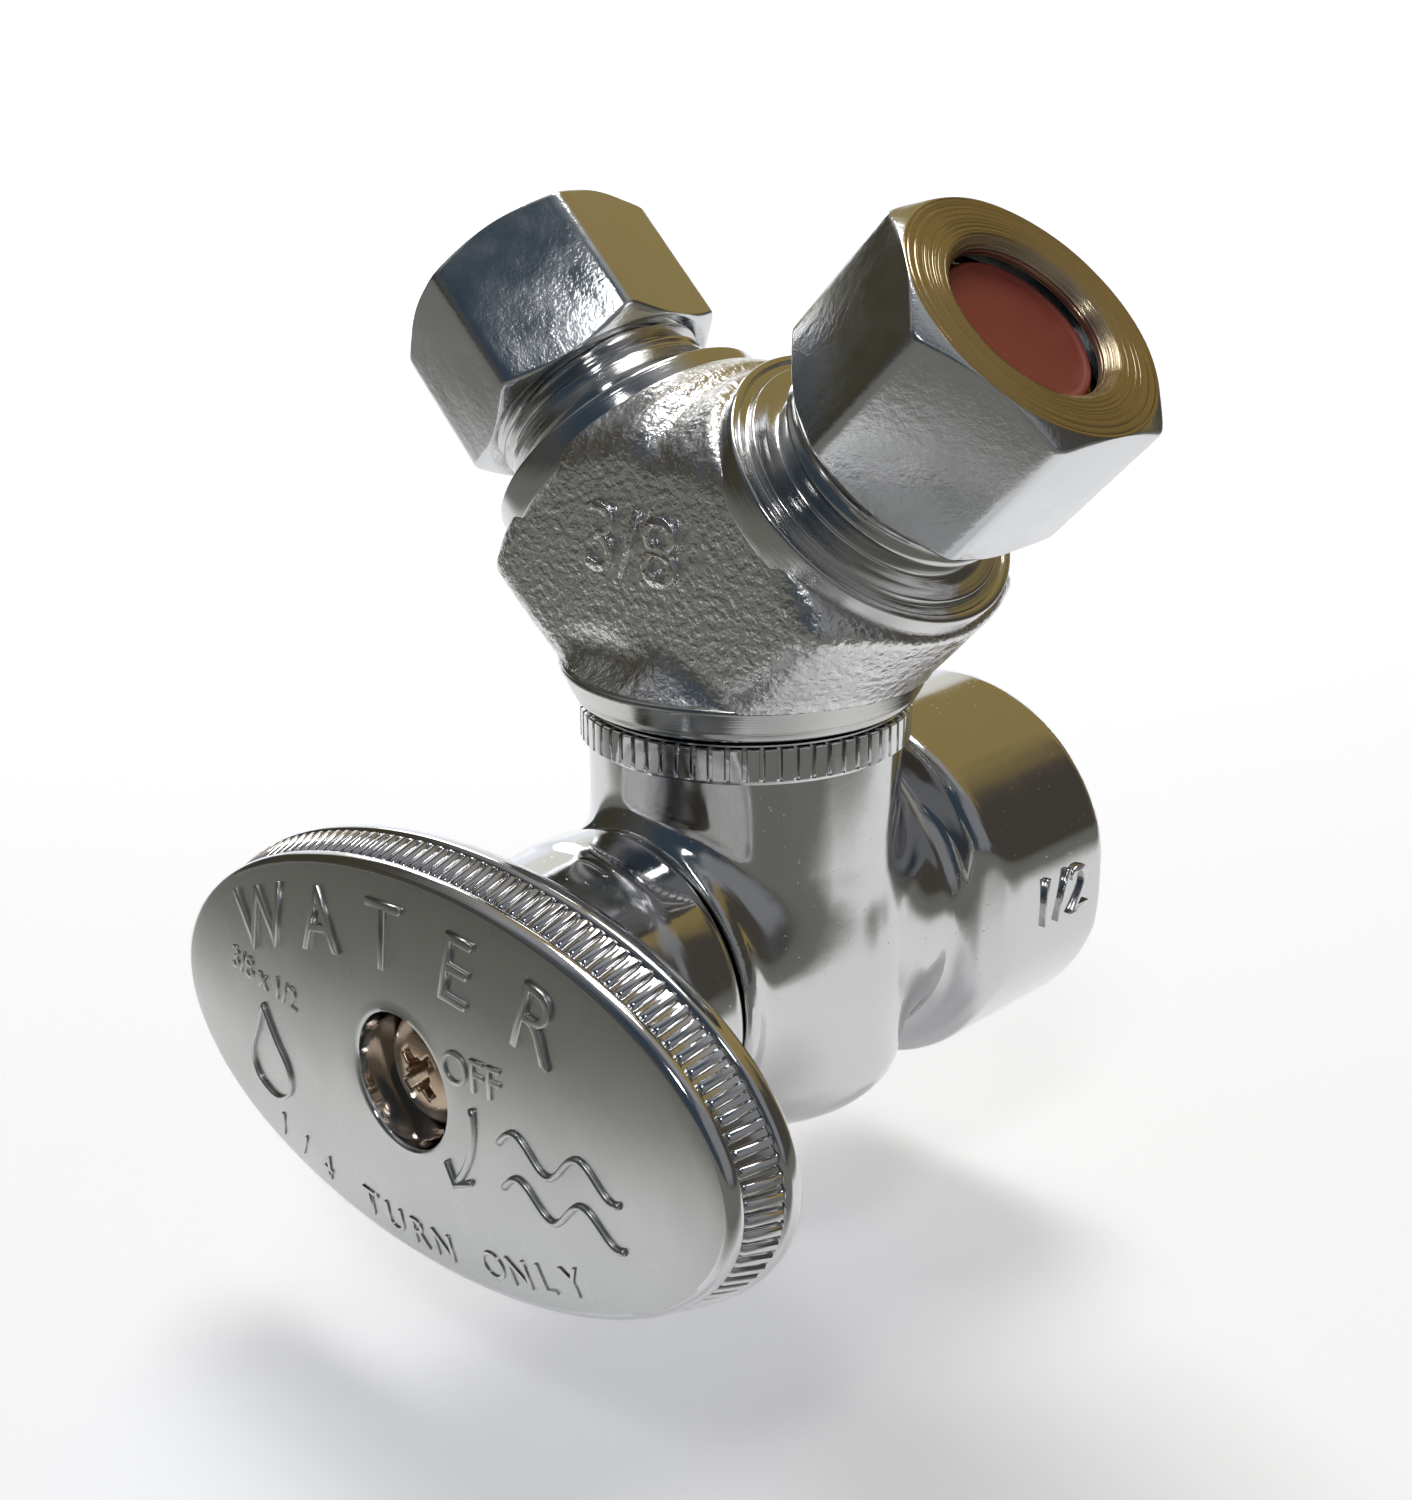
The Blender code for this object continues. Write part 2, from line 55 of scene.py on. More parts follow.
NUT_AF, NUT_D0, NUT_D1, NUT_FACE_R, HOLE_R = 15.875, 17.62, 27.72, 7.9, 4.85
NUT_TURN = {"right": 118.4, "left": 133.6}     # angle from +Y to a corner, in degrees
NUT_CHAMFER = 0.5774      # slope of a chamfer of 30 degrees
PIPE_PITCH, PIPE_TAPER = 1.814, 0.0313
HANDLE_A, HANDLE_B = 24.3, 12.6
CANT = radians(4.0)       # how far the open handle stands from level
POCKET_R = 3.93
FACE_INSET = 1.22         # width of the rolled edge round the handle's face
RECESS_Y = -25.35         # floor of the screw's cross recess
SUNK = 0.12               # raised marks start this far under their surface
SIDES = ("right", "left")


def outlet_axes(side):
    """Outward axis of an outlet and the crosswise direction that points away from the V."""
    s = 1.0 if side == "right" else -1.0
    return np.array([s * sin(LEAN), 0.0, cos(LEAN)]), np.array([s * cos(LEAN), 0.0, -sin(LEAN)])


# ------------------------------------------------------------------ camera
def camera():
    eye = Vector((74.475, -82.154 + BARREL_Y, 50.347)) / 1000.0
    right = Vector((0.6839, 0.7292, -0.0247)).normalized()
    up = Vector((-0.2042, 0.2238, 0.9530))
    back = right.cross(up).normalized()
    up = back.cross(right)
    data = bpy.data.cameras.new("studio_camera")
    data.sensor_fit = 'HORIZONTAL'
    data.sensor_width = 36.0
    data.lens = 47.93
    data.shift_x = 0.0856
    data.shift_y = -0.0327
    data.clip_start = 0.005
    data.clip_end = 20.0
    cam = bpy.data.objects.new("studio_camera", data)
    cam.matrix_world = Matrix(((right.x, up.x, back.x, eye.x), (right.y, up.y, back.y, eye.y),
                               (right.z, up.z, back.z, eye.z), (0, 0, 0, 1)))
    bpy.context.collection.objects.link(cam)
    bpy.context.scene.camera = cam


camera()


# ------------------------------------------------------------------ colour and node helpers
def linear(code):
    """sRGB hex to linear RGBA."""
    values = [int(code[i:i + 2], 16) / 255.0 for i in (1, 3, 5)]
    return [v / 12.92 if v <= 0.04045 else ((v + 0.055) / 1.055) ** 2.4 for v in values] + [1.0]


def add(tree, kind, links=None, **settings):
    """One node: attributes and socket values by name or index, then links into its inputs."""
    node = tree.nodes.new(kind)
    for key, value in settings.items():
        if key.startswith("in_"):
            name = key[3:]
            node.inputs[int(name) if name.isdigit() else name.replace("_", " ")].default_value = value
        else:
            setattr(node, key, value)
    for key, source in (links or {}).items():
        tree.links.new(source, node.inputs[key])
    return node


def new_material(name, colour, metallic, roughness):
    """Material with its node tree, its shader and the coordinates of the piece."""
    mat = bpy.data.materials.new(name)
    mat.use_nodes = True
    tree = mat.node_tree
    shader = tree.nodes["Principled BSDF"]
    shader.inputs["Base Color"].default_value = linear(colour)
    shader.inputs["Metallic"].default_value = metallic
    shader.inputs["Roughness"].default_value = roughness
    mat.diffuse_color = linear(colour)
    return mat, tree, shader, add(tree, "ShaderNodeTexCoord").outputs["Object"]


def worked(tree, shader, relief=None, strength=1.0, depth=0.0, wear=None, rough=None,
           span=(0.3, 0.7)):
    """Ties a relief, `depth` metres deep, and a roughness that drifts with `wear` to a shader."""
    if relief is not None:
        bump = add(tree, "ShaderNodeBump", {"Height": relief}, in_Strength=strength,
                   in_Distance=depth)
        tree.links.new(bump.outputs["Normal"], shader.inputs["Normal"])
    if wear is not None:
        drift = add(tree, "ShaderNodeMapRange", {"Value": wear.outputs["Fac"]}, in_1=span[0],
                    in_2=span[1], in_3=rough[0], in_4=rough[1])
        tree.links.new(drift.outputs["Result"], shader.inputs["Roughness"])


def two_tone(tree, shader, factor, light, dark):
    """Colours a surface between two tones."""
    tint = add(tree, "ShaderNodeMix", {"Factor": factor}, data_type='RGBA', in_6=linear(light),
               in_7=linear(dark))
    tree.links.new(tint.outputs[2], shader.inputs["Base Color"])


def mm_noise(tree, coords, size, detail=2.0, rough=0.5, distort=0.0):
    """Noise whose features are about `size` millimetres across."""
    return add(tree, "ShaderNodeTexNoise", {"Vector": coords}, in_Scale=1000.0 / size,
               in_Detail=detail, in_Roughness=rough, in_Distortion=distort)


# ------------------------------------------------------------------ mesh helpers
def place(points):
    """Millimetre points round the barrel axis to metres in the model's frame."""
    p = np.asarray(points, dtype=float).reshape(-1, 3)
    return (p + np.array([0.0, BARREL_Y, 0.0])) * 0.001


def mesh_object(name, points, faces, mat, sharp=None):
    """Object at the origin with its place in its mesh; points are in millimetres."""
    mesh = bpy.data.meshes.new(name)
    mesh.from_pydata([tuple(v) for v in place(points)], [], [tuple(f) for f in faces])
    mesh.update()
    bm = bmesh.new()
    bm.from_mesh(mesh)
    bmesh.ops.recalc_face_normals(bm, faces=bm.faces)
    bm.to_mesh(mesh)
    bm.free()
    mesh.materials.append(mat)
    mesh.shade_smooth()
    if sharp:
        mesh.set_sharp_from_angle(angle=radians(sharp))
    obj = bpy.data.objects.new(name, mesh)
    bpy.context.collection.objects.link(obj)
    return obj


def ring_faces(rows, count, closed_profile=False):
    """Quads between rows of `count` points; single-point rows close as fans.

    Each row is a list of indices, either `count` long or one long."""
    faces = []
    pairs = list(zip(rows, rows[1:]))
    if closed_profile:
        pairs.append((rows[-1], rows[0]))
    for a, b in pairs:
        for i in range(count):
            j = (i + 1) % count
            if len(a) == 1 and len(b) == 1:
                continue
            if len(a) == 1:
                faces.append((a[0], b[j], b[i]))
            elif len(b) == 1:
                faces.append((a[i], a[j], b[0]))
            else:
                faces.append((a[i], a[j], b[j], b[i]))
    return faces


def fillet(profile, sizes, steps=4):
    """Rounds the corners of a (radius, height) profile; sizes maps corner number to radius."""
    out = []
    n = len(profile)
    for k, point in enumerate(profile):
        p = np.array(point, float)
        r = sizes.get(k, 0.0)
        if r <= 0 or k in (0, n - 1):
            out.append(p)
            continue
        a = np.array(profile[k - 1], float) - p
        b = np.array(profile[k + 1], float) - p
        la, lb = np.linalg.norm(a), np.linalg.norm(b)
        r = min(r, la * 0.49, lb * 0.49)
        p0, p1 = p + a / la * r, p + b / lb * r
        for i in range(steps + 1):
            t = i / steps
            out.append((1 - t) ** 2 * p0 + 2 * t * (1 - t) * p + t * t * p1)
    return [tuple(v) for v in out]


def turned(name, profile, mat, axis=(0, 0, 1), base=(0, 0, 0), sides=128, closed=False,
           sharp=35):
    """Turned piece: (radius, height) profile about `axis` through `base`, in mm."""
    w = np.array(axis, float)
    w /= np.linalg.norm(w)
    u = np.array([0.0, 1.0, 0.0]) if abs(w[1]) < 0.9 else np.array([1.0, 0.0, 0.0])
    u -= w * (u @ w)
    u /= np.linalg.norm(u)
    v = np.cross(w, u)
    t = np.linspace(0, 2 * pi, sides, endpoint=False)
    circle = np.outer(np.cos(t), u) + np.outer(np.sin(t), v)
    points, rows = [], []
    for radius, height in profile:
        centre = np.array(base, float) + w * height
        start = len(points)
        if radius < 1e-6:
            points.append(centre)
            rows.append([start])
        else:
            points.extend(centre + radius * circle)
            rows.append(list(range(start, start + sides)))
    return mesh_object(name, points, ring_faces(rows, sides, closed), mat, sharp)


# ------------------------------------------------------------------ smooth solid fields
def smooth_min(a, b, k):
    h = np.clip(k - np.abs(a - b), 0, None) / k
    return np.minimum(a, b) - h * h * k * 0.25


def smooth_max(a, b, k):
    return -smooth_min(-a, -b, k)


def along(p, axis, base=(0, 0, 0)):
    """Distance along and out from a line."""
    q = p - np.array(base, float)
    t = q @ np.array(axis, float)
    out = np.linalg.norm(q - t[:, None] * np.array(axis, float), axis=1)
    return t, out


def drum(t, out, low, high, radius, edge):
    """Cylinder from low to high along t, with rounded rims."""
    a = np.maximum(low - t, t - high) + edge
    b = out - radius + edge
    return np.minimum(np.maximum(a, b), 0) + np.hypot(np.maximum(a, 0), np.maximum(b, 0)) - edge


def skin(field, low, high, cell, settle=3):
    """Smooth quad surface where the field is zero (surface nets, then settled onto the zero)."""
    low, high = np.array(low, float), np.array(high, float)
    n = np.ceil((high - low) / cell).astype(int) + 1
    axes = [low[i] + cell * np.arange(n[i]) for i in range(3)]
    grid = np.stack(np.meshgrid(*axes, indexing='ij'), -1).reshape(-1, 3)
    value = np.concatenate([field(part) for part in np.array_split(grid, 24)]).reshape(n)
    inside = value < 0
    cells = n - 1
    total = np.zeros((*cells, 3))
    hits = np.zeros(cells)
    for a in range(3):
        b, c = (a + 1) % 3, (a + 2) % 3
        for ob in (0, 1):
            for oc in (0, 1):
                first = [slice(0, cells[0]), slice(0, cells[1]), slice(0, cells[2])]
                first[b] = slice(ob, ob + cells[b])
                first[c] = slice(oc, oc + cells[c])
                second = list(first)
                second[a] = slice(1, 1 + cells[a])
                f0, f1 = value[tuple(first)], value[tuple(second)]
                cross = (f0 < 0) != (f1 < 0)
                t = np.where(cross, f0 / np.where(cross, f0 - f1, 1.0), 0.0)
                total[..., a] += np.where(cross, t, 0)
                total[..., b] += np.where(cross, ob, 0)
                total[..., c] += np.where(cross, oc, 0)
                hits += cross
    active = hits > 0
    index = -np.ones(cells, int)
    index[active] = np.arange(active.sum())
    where = np.argwhere(active)
    points = low + cell * (where + total[active] / hits[active][:, None])
    quads = []
    for a in range(3):
        b, c = (a + 1) % 3, (a + 2) % 3
        first = [slice(None)] * 3
        first[a] = slice(0, cells[a])
        first[b] = slice(1, cells[b])
        first[c] = slice(1, cells[c])
        second = list(first)
        second[a] = slice(1, 1 + cells[a])
        s0, s1 = inside[tuple(first)], inside[tuple(second)]
        for flip, mask in ((False, s0 & ~s1), (True, ~s0 & s1)):
            spot = np.argwhere(mask)
            if not len(spot):
                continue
            corner = spot.copy()
            corner[:, b] += 1
            corner[:, c] += 1
            ids = []
            for db, dc in ((-1, -1), (0, -1), (0, 0), (-1, 0)):
                q = corner.copy()
                q[:, b] += db
                q[:, c] += dc
                ids.append(index[q[:, 0], q[:, 1], q[:, 2]])
            quad = np.stack(ids, 1)
            quads.append(quad[:, ::-1] if flip else quad)
    quads = np.concatenate(quads)
    h = cell * 0.05
    for _ in range(settle):
        f = field(points)
        g = np.stack([(field(points + e) - field(points - e)) / (2 * h)
                      for e in np.eye(3) * h], 1)
        step = -g * (f / np.maximum((g * g).sum(1), 0.2))[:, None]
        far = np.linalg.norm(step, axis=1)
        points = points + step * np.minimum(1.0, 0.4 * cell / np.maximum(far, 1e-9))[:, None]
    return points, quads


# ------------------------------------------------------------------ materials
def chrome_cast(name="chrome_plated_cast_brass"):
    """Chrome plate over cast brass: mirror bright, with the faint swell of the casting."""
    mat, tree, shader, xyz = new_material(name, "#cfcfd0", 1.0, 0.09)
    swell = mm_noise(tree, xyz, 2.6, 3.0, 0.55)
    pits = mm_noise(tree, xyz, 0.35, 2.0, 0.6)
    few = add(tree, "ShaderNodeMapRange", {"Value": pits.outputs["Fac"]}, in_1=0.24, in_2=0.3,
              in_3=0.0, in_4=1.0)
    mix = add(tree, "ShaderNodeMath", {0: swell.outputs["Fac"], 1: few.outputs["Result"]},
              operation='ADD')
    worked(tree, shader, mix.outputs[0], 0.35, 0.00003, swell, (0.07, 0.16), (0.35, 0.7))
    return mat


def chrome_forging(name="chrome_plated_blasted_forging", colour="#dedddd", rough=0.31):
    """Chrome plate over a shot-blasted forging: pebbly satin grain about 0.6 mm across."""
    mat, tree, shader, xyz = new_material(name, colour, 1.0, rough)
    grain = mm_noise(tree, xyz, 0.6, 2.0, 0.6)
    coarse = mm_noise(tree, xyz, 0.95, 2.0, 0.5)
    worked(tree, shader, grain.outputs["Fac"], 1.0, 0.00017, coarse, (rough * 0.7, rough * 1.15))
    return mat


def chrome_turned(name, axis, base, colour="#cdcdce", ring_mm=0.16, strength=0.35, rough=0.14,
                  depth=0.00003):
    """Chrome over lathe work: fine rings round the axis, so highlights smear across them.

    The rings follow distance along plus distance out, which draws them on walls and faces."""
    mat, tree, shader, xyz = new_material(name, colour, 1.0, rough)
    w = Vector(axis).normalized()
    turn = w.to_track_quat('Z', 'Y').inverted()
    centre = turn @ (Vector(base) * 0.001 + Vector((0, BARREL_Y * 0.001, 0)))
    local = add(tree, "ShaderNodeMapping", {"Vector": xyz}, vector_type='POINT',
                in_Location=tuple(-centre), in_Rotation=tuple(turn.to_euler()))
    split = add(tree, "ShaderNodeSeparateXYZ", {0: local.outputs[0]})
    flat = add(tree, "ShaderNodeCombineXYZ", {0: split.outputs[0], 1: split.outputs[1]})
    out = add(tree, "ShaderNodeVectorMath", {0: flat.outputs[0]}, operation='LENGTH')
    way = add(tree, "ShaderNodeMath", {0: out.outputs["Value"], 1: split.outputs[2]},
              operation='ADD')
    line = add(tree, "ShaderNodeMath", {0: way.outputs[0]}, operation='MULTIPLY', in_1=1000.0 / ring_mm)
    rings = add(tree, "ShaderNodeTexNoise", {"W": line.outputs[0]}, noise_dimensions='1D',
                in_Scale=1.0, in_Detail=3.0, in_Roughness=0.7)
    drift = mm_noise(tree, xyz, 1.6, 2.0)
    worked(tree, shader, rings.outputs["Fac"], strength, depth, drift, (rough * 0.75, rough * 1.4))
    return mat


def chrome_hexagon():
    """Chrome over drawn hexagon bar: flats with orange-peel grain that sparkles."""
    mat, tree, shader, xyz = new_material("chrome_plated_drawn_hexagon", "#d2d4d6", 1.0, 0.13)
    peel = mm_noise(tree, xyz, 0.6, 4.0, 0.68)
    wide = mm_noise(tree, xyz, 3.0, 2.0, 0.5)
    worked(tree, shader, peel.outputs["Fac"], 0.7, 0.00004, wide, (0.12, 0.22), (0.35, 0.65))
    return mat


def chrome_handle():
    """Satin chrome over die-cast zinc: soft sheen, slight flow marks."""
    mat, tree, shader, xyz = new_material("satin_chrome_die_cast_zinc", "#c3c4c2", 1.0, 0.27)
    fine = mm_noise(tree, xyz, 0.3, 3.0, 0.6)
    flow = mm_noise(tree, xyz, 5.0, 2.0, 0.5)
    worked(tree, shader, fine.outputs["Fac"], 0.12, 0.00002, flow, (0.24, 0.33))
    return mat


def chrome_rim():
    """Bright chrome on the handle's edge and ribs."""
    mat, tree, shader, xyz = new_material("bright_chrome_die_cast_zinc", "#d6d6d8", 1.0, 0.08)
    wave = mm_noise(tree, xyz, 1.1, 2.0, 0.5)
    worked(tree, shader, wave.outputs["Fac"], 0.25, 0.00004)
    return mat


def brass():
    """Plain turned brass, a little dull."""
    mat, tree, shader, xyz = new_material("turned_brass", "#c9a45c", 1.0, 0.3)
    dull = mm_noise(tree, xyz, 1.5, 3.0)
    worked(tree, shader, wear=dull, rough=(0.24, 0.4))
    two_tone(tree, shader, dull.outputs["Fac"], "#d1ad66", "#a8823f")
    return mat


def plastic(name, light, dark, rough, grain_mm, bump_m):
    """Moulded or cut plastic and rubber: even colour with a slight mottle and a fine grain."""
    mat, tree, shader, xyz = new_material(name, light, 0.0, rough)
    mottle = mm_noise(tree, xyz, grain_mm * 5, 3.0)
    grain = mm_noise(tree, xyz, grain_mm, 2.0)
    two_tone(tree, shader, mottle.outputs["Fac"], light, dark)
    worked(tree, shader, grain.outputs["Fac"], 0.4, bump_m)
    return mat


UP = (0.0, 0.0, 1.0)
OUT = (0.0, 1.0, 0.0)
CAST = chrome_cast()
HUB = chrome_cast("chrome_plated_die_cast_hub")
FORGED = chrome_forging()
FORGED_MARK = chrome_forging("chrome_plated_forged_numbers", "#e2e0de", 0.17)
HEX = chrome_hexagon()
SATIN = chrome_handle()
RIM = chrome_rim()
SKIRT = chrome_turned("chrome_plated_turned_skirt", UP, (0, 0, 0), "#c4c4c2", 0.22, 0.4, 0.16)
FACES = {side: chrome_turned("chrome_plated_turned_%s_outlet" % side, tuple(outlet_axes(side)[0]),
                             (0, 0, V_Z), "#cfcfcf", 0.2, 0.5, 0.12)
         for side in SIDES}
RINGED = {side: chrome_turned("chrome_plated_faced_%s_nut" % side, tuple(outlet_axes(side)[0]),
                              (0, 0, V_Z), "#b9ab93", 0.22, 1.0, 0.17, 0.00009)
          for side in SIDES}
SCREW = chrome_turned("plated_steel_screw", OUT, (0, 0, 0), "#b9a48e", 0.2, 0.2, 0.2)
BRASS = brass()
PTFE = plastic("sintered_ptfe", "#e9e9e4", "#dcdcd4", 0.5, 0.2, 0.00001)
RUBBER = plastic("moulded_nitrile_rubber", "#101010", "#1a1a1a", 0.55, 0.15, 0.00001)
RED = plastic("moulded_red_polythene", "#98443a", "#843630", 0.4, 0.4, 0.00002)


# ------------------------------------------------------------------ shapes as distances (mm)
def outline_distance(t, out, outline):
    """Distance to a turned solid; its outline runs from axis to axis as (radius, along)."""
    best = np.full(t.shape, 1e9)
    inside = np.zeros(t.shape, bool)
    ring = list(outline) + [outline[0]]
    for k, ((r0, t0), (r1, t1)) in enumerate(zip(ring, ring[1:])):
        straddle = (t0 > t) != (t1 > t)
        if t1 != t0:
            inside ^= straddle & (out < (r1 - r0) * (t - t0) / (t1 - t0) + r0)
        if k == len(outline) - 1:
            continue
        dr, dt = r1 - r0, t1 - t0
        h = np.clip(((out - r0) * dr + (t - t0) * dt) / (dr * dr + dt * dt + 1e-12), 0, 1)
        best = np.minimum(best, (out - r0 - h * dr) ** 2 + (t - t0 - h * dt) ** 2)
    best = np.sqrt(best)
    return np.where(inside, -best, best)


BOTTOM = [(1.8 + 8.2 * sin(a), -6.97 - 4.18 * cos(a)) for a in np.linspace(0, pi / 2, 13)]
BARREL = fillet([(0, -11.15)] + BOTTOM + [(10.0, -4.0), (9.8, 2.0), (9.66, 7.0), (9.66, 14.9),
                                          (0, 14.9)], {17: 0.25})
BOSS = fillet([(0, 2.0), (8.9, 2.0), (8.9, -7.7), (9.35, -9.0), (9.4, -9.85), (5.4, -9.85),
               (5.4, -17.0), (0, -17.0)], {2: 0.6, 4: 0.35, 5: 0.3, 6: 0.4}, 3)
INLET = fillet([(0, 1.0), (9.35, 1.0), (9.5, 9.2), (10.1, 9.9), (11.6, 10.25), (12.18, 10.95),
                (12.18, 22.8), (9.9, 22.8), (0, 22.8)], {2: 0.5, 3: 0.4, 4: 0.4, 5: 0.5, 6: 0.7}, 3)
CHAMBER = fillet([(0, -9.0), (5.6, -9.0), (7.4, -8.2), (7.4, 8.3), (8.25, 8.3), (8.25, 13.8),
                  (9.2, 14.1), (9.2, 17.0), (0, 17.0)], {1: 0.6, 2: 0.6, 4: 0.3}, 3)
STEM_WAY = [(0, -2.0), (4.8, -2.0), (4.8, -8.9), (3.45, -8.9), (3.45, -18.0), (0, -18.0)]
INLET_BORE = [(0, 4.0), (4.2, 4.0), (4.2, 10.8), (9.95, 10.8), (10.3, 21.6), (11.1, 23.4), (0, 23.4)]


def body_field(p):
    """Cast valve body: barrel, handle boss and pipe socket, blended as a casting blends."""
    tz, rz = along(p, UP)
    ty, ry = along(p, OUT)
    barrel = outline_distance(tz, rz, BARREL)
    boss = outline_distance(ty, ry, BOSS)
    inlet = outline_distance(ty, ry, INLET)
    # wrench flats, each with a slanting run-out towards the neck
    wide = np.abs(p[:, 0])
    flat = smooth_max(wide - FLAT_X, (wide - FLAT_X) * 0.87 + (12.6 - p[:, 1]) * 0.5, 0.4)
    flat = np.where(p[:, 1] < 9.2, -5.0, flat)
    inlet = smooth_max(inlet, flat, 0.5)
    solid = smooth_min(barrel, boss, 2.2)
    solid = smooth_min(solid, inlet, 1.8)
    hollow = np.minimum(outline_distance(tz, rz, CHAMBER), outline_distance(ty, ry, STEM_WAY))
    hollow = np.minimum(hollow, outline_distance(ty, ry, INLET_BORE))
    return smooth_max(solid, -hollow, 0.25)


def forging_field(p):
    """Blasted forging: two arms in a flat-faced web, standing on a round root."""
    x, y, z = p[:, 0], p[:, 1], p[:, 2]
    rho = np.hypot(x, y)
    arms, runout, spot, bores = [], [], [], []
    for side in SIDES:
        axis, _ = outlet_axes(side)
        t, out = along(p, axis, (0, 0, V_Z))
        arms.append(drum(t, out, -3.0, 12.5, 9.4, 0.5))
        slope = (out - 9.4 + (t - 12.45) * 2.2) / 2.4
        runout.append(smooth_max(slope, t - 12.5, 0.6))
        spot.append(np.maximum(out - 10.0, 12.5 - t))
        bores.append(drum(t, out, 0.6, 18.0, 3.2, 0.2))
    cone = (rho - 11.2 - (z - 18.2) * 0.94) * 0.73
    roof = z - 23.75 - np.sqrt(np.clip(13.05 ** 2 - y * y, 0, None)) + 0.32 * np.abs(x)
    roof = (roof + 1.1 * np.exp(-((x - 0.8) / 1.5) ** 2)) * 0.8
    web = smooth_max(cone, roof, 2.0)
    web = smooth_max(web, smooth_max(runout[0], runout[1], 0.5), 0.7)
    web = np.maximum(web, 18.0 - z)
    solid = smooth_min(web, smooth_min(arms[0], arms[1], 1.0), 1.6)
    solid = smooth_max(solid, np.abs(y) - FORGING_HALF, 1.1)
    root = np.maximum((rho - 10.98 + (z - 18.25) * 0.95) * 0.72, 17.9 - z)
    solid = smooth_min(solid, root, 0.8)
    scoop = (np.sqrt(((x + 3.2) / 4.6) ** 2 + ((y + 10.7) / 1.9) ** 2 + ((z - 20.0) / 1.5) ** 2)
             - 1.0) * 1.6
    solid = smooth_max(solid, -scoop, 0.6)
    solid = smooth_max(solid, -np.minimum(spot[0], spot[1]), 0.4)
    solid = np.maximum(solid, 18.0 - z)
    riser = np.maximum(rho - 3.4, z - 21.5)
    hollow = np.minimum(riser, np.minimum(bores[0], bores[1]))
    return smooth_max(solid, -hollow, 0.3)


def skinned(name, field, low, high, cell, mat):
    points, quads = skin(field, low, high, cell)
    return mesh_object(name, points, quads, mat)


# ------------------------------------------------------------------ structured turned walls
def wall(name, base, axis, cross, sections, mat, sharp=35):
    """Closed ring wall: sections[k] is the (radius, along) loop at the k-th angle.

    All loops have the same number of points; angle zero lies along `cross`."""
    loops = np.array(sections, float)
    count, size = loops.shape[:2]
    w = np.array(axis, float)
    u = np.array(cross, float)
    v = np.cross(w, u)
    t = np.linspace(0, 2 * pi, count, endpoint=False)
    circle = np.outer(np.cos(t), u) + np.outer(np.sin(t), v)
    points = (np.array(base, float) + loops[..., 0:1] * circle[:, None, :]
              + loops[..., 1:2] * w).reshape(-1, 3)
    faces = []
    for k in range(count):
        n = (k + 1) % count
        for i in range(size):
            j = (i + 1) % size
            faces.append((k * size + i, n * size + i, n * size + j, k * size + j))
    return mesh_object(name, points, faces, mat, sharp)


def refinish(obj, mat, chosen):
    """Gives the faces whose middle (mm, round the barrel axis) is chosen a finish of their own."""
    obj.data.materials.append(mat)
    for face in obj.data.polygons:
        middle = np.array(face.center[:]) * 1000.0 - np.array([0.0, BARREL_Y, 0.0])
        if chosen(middle):
            face.material_index = 1


def thread_cut(along_mm, angle, pitch, depth, low, high, turn=0.0):
    """How deep a thread is at a point: flat crest, V flank, rounded root, faded ends."""
    phase = (along_mm / pitch - angle / (2 * pi) + turn) % 1.0
    groove = np.clip(1.25 * (0.5 - np.abs(phase - 0.5)) * 2.0 - 0.22, 0.0, 1.0)
    groove = np.sin(groove * pi / 2) ** 1.2
    fade = np.clip((along_mm - low) / pitch, 0, 1) * np.clip((high - along_mm) / (0.5 * pitch), 0, 1)
    return depth * groove * fade


def outlet(side):
    """Machined collar and threaded shank of one outlet, with its socket."""
    axis, cross = outlet_axes(side)
    count = 128
    head = fillet([(8.4, 11.6), (9.3, 11.6), (COLLAR_R, 12.3), (COLLAR_R, COLLAR_D), (8.9, COLLAR_D),
                   (8.75, COLLAR_D - 0.12), (8.3, COLLAR_D - 0.12), (8.2, COLLAR_D + 0.35),
                   (7.3, COLLAR_D + 0.35), (6.65, COLLAR_D + 0.55), (6.65, COLLAR_D + 1.5),
                   (THREAD_R, COLLAR_D + 2.0)],
                  {1: 0.1, 3: 0.22, 4: 0.08, 6: 0.08, 7: 0.12, 8: 0.15, 9: 0.2, 10: 0.2}, 3)
    low, high = COLLAR_D + 2.05, SHANK_D - 0.55
    steps = np.arange(low, high, PITCH / 9)
    tail = fillet([(THREAD_R, high), (THREAD_R - 0.5, SHANK_D), (6.7, SHANK_D), (4.85, 21.9),
                   (4.85, 17.0), (3.2, 17.0), (3.2, 11.6)], {1: 0.1, 2: 0.1}, 2)
    sections = []
    for k in range(count):
        angle = 2 * pi * k / count
        cut = thread_cut(steps, angle, PITCH, 0.62, low, high)
        sections.append(head + [(THREAD_R - c, s) for c, s in zip(cut, steps)] + tail)
    return wall(side + "_outlet", (0, 0, V_Z), axis, cross, sections, FACES[side])


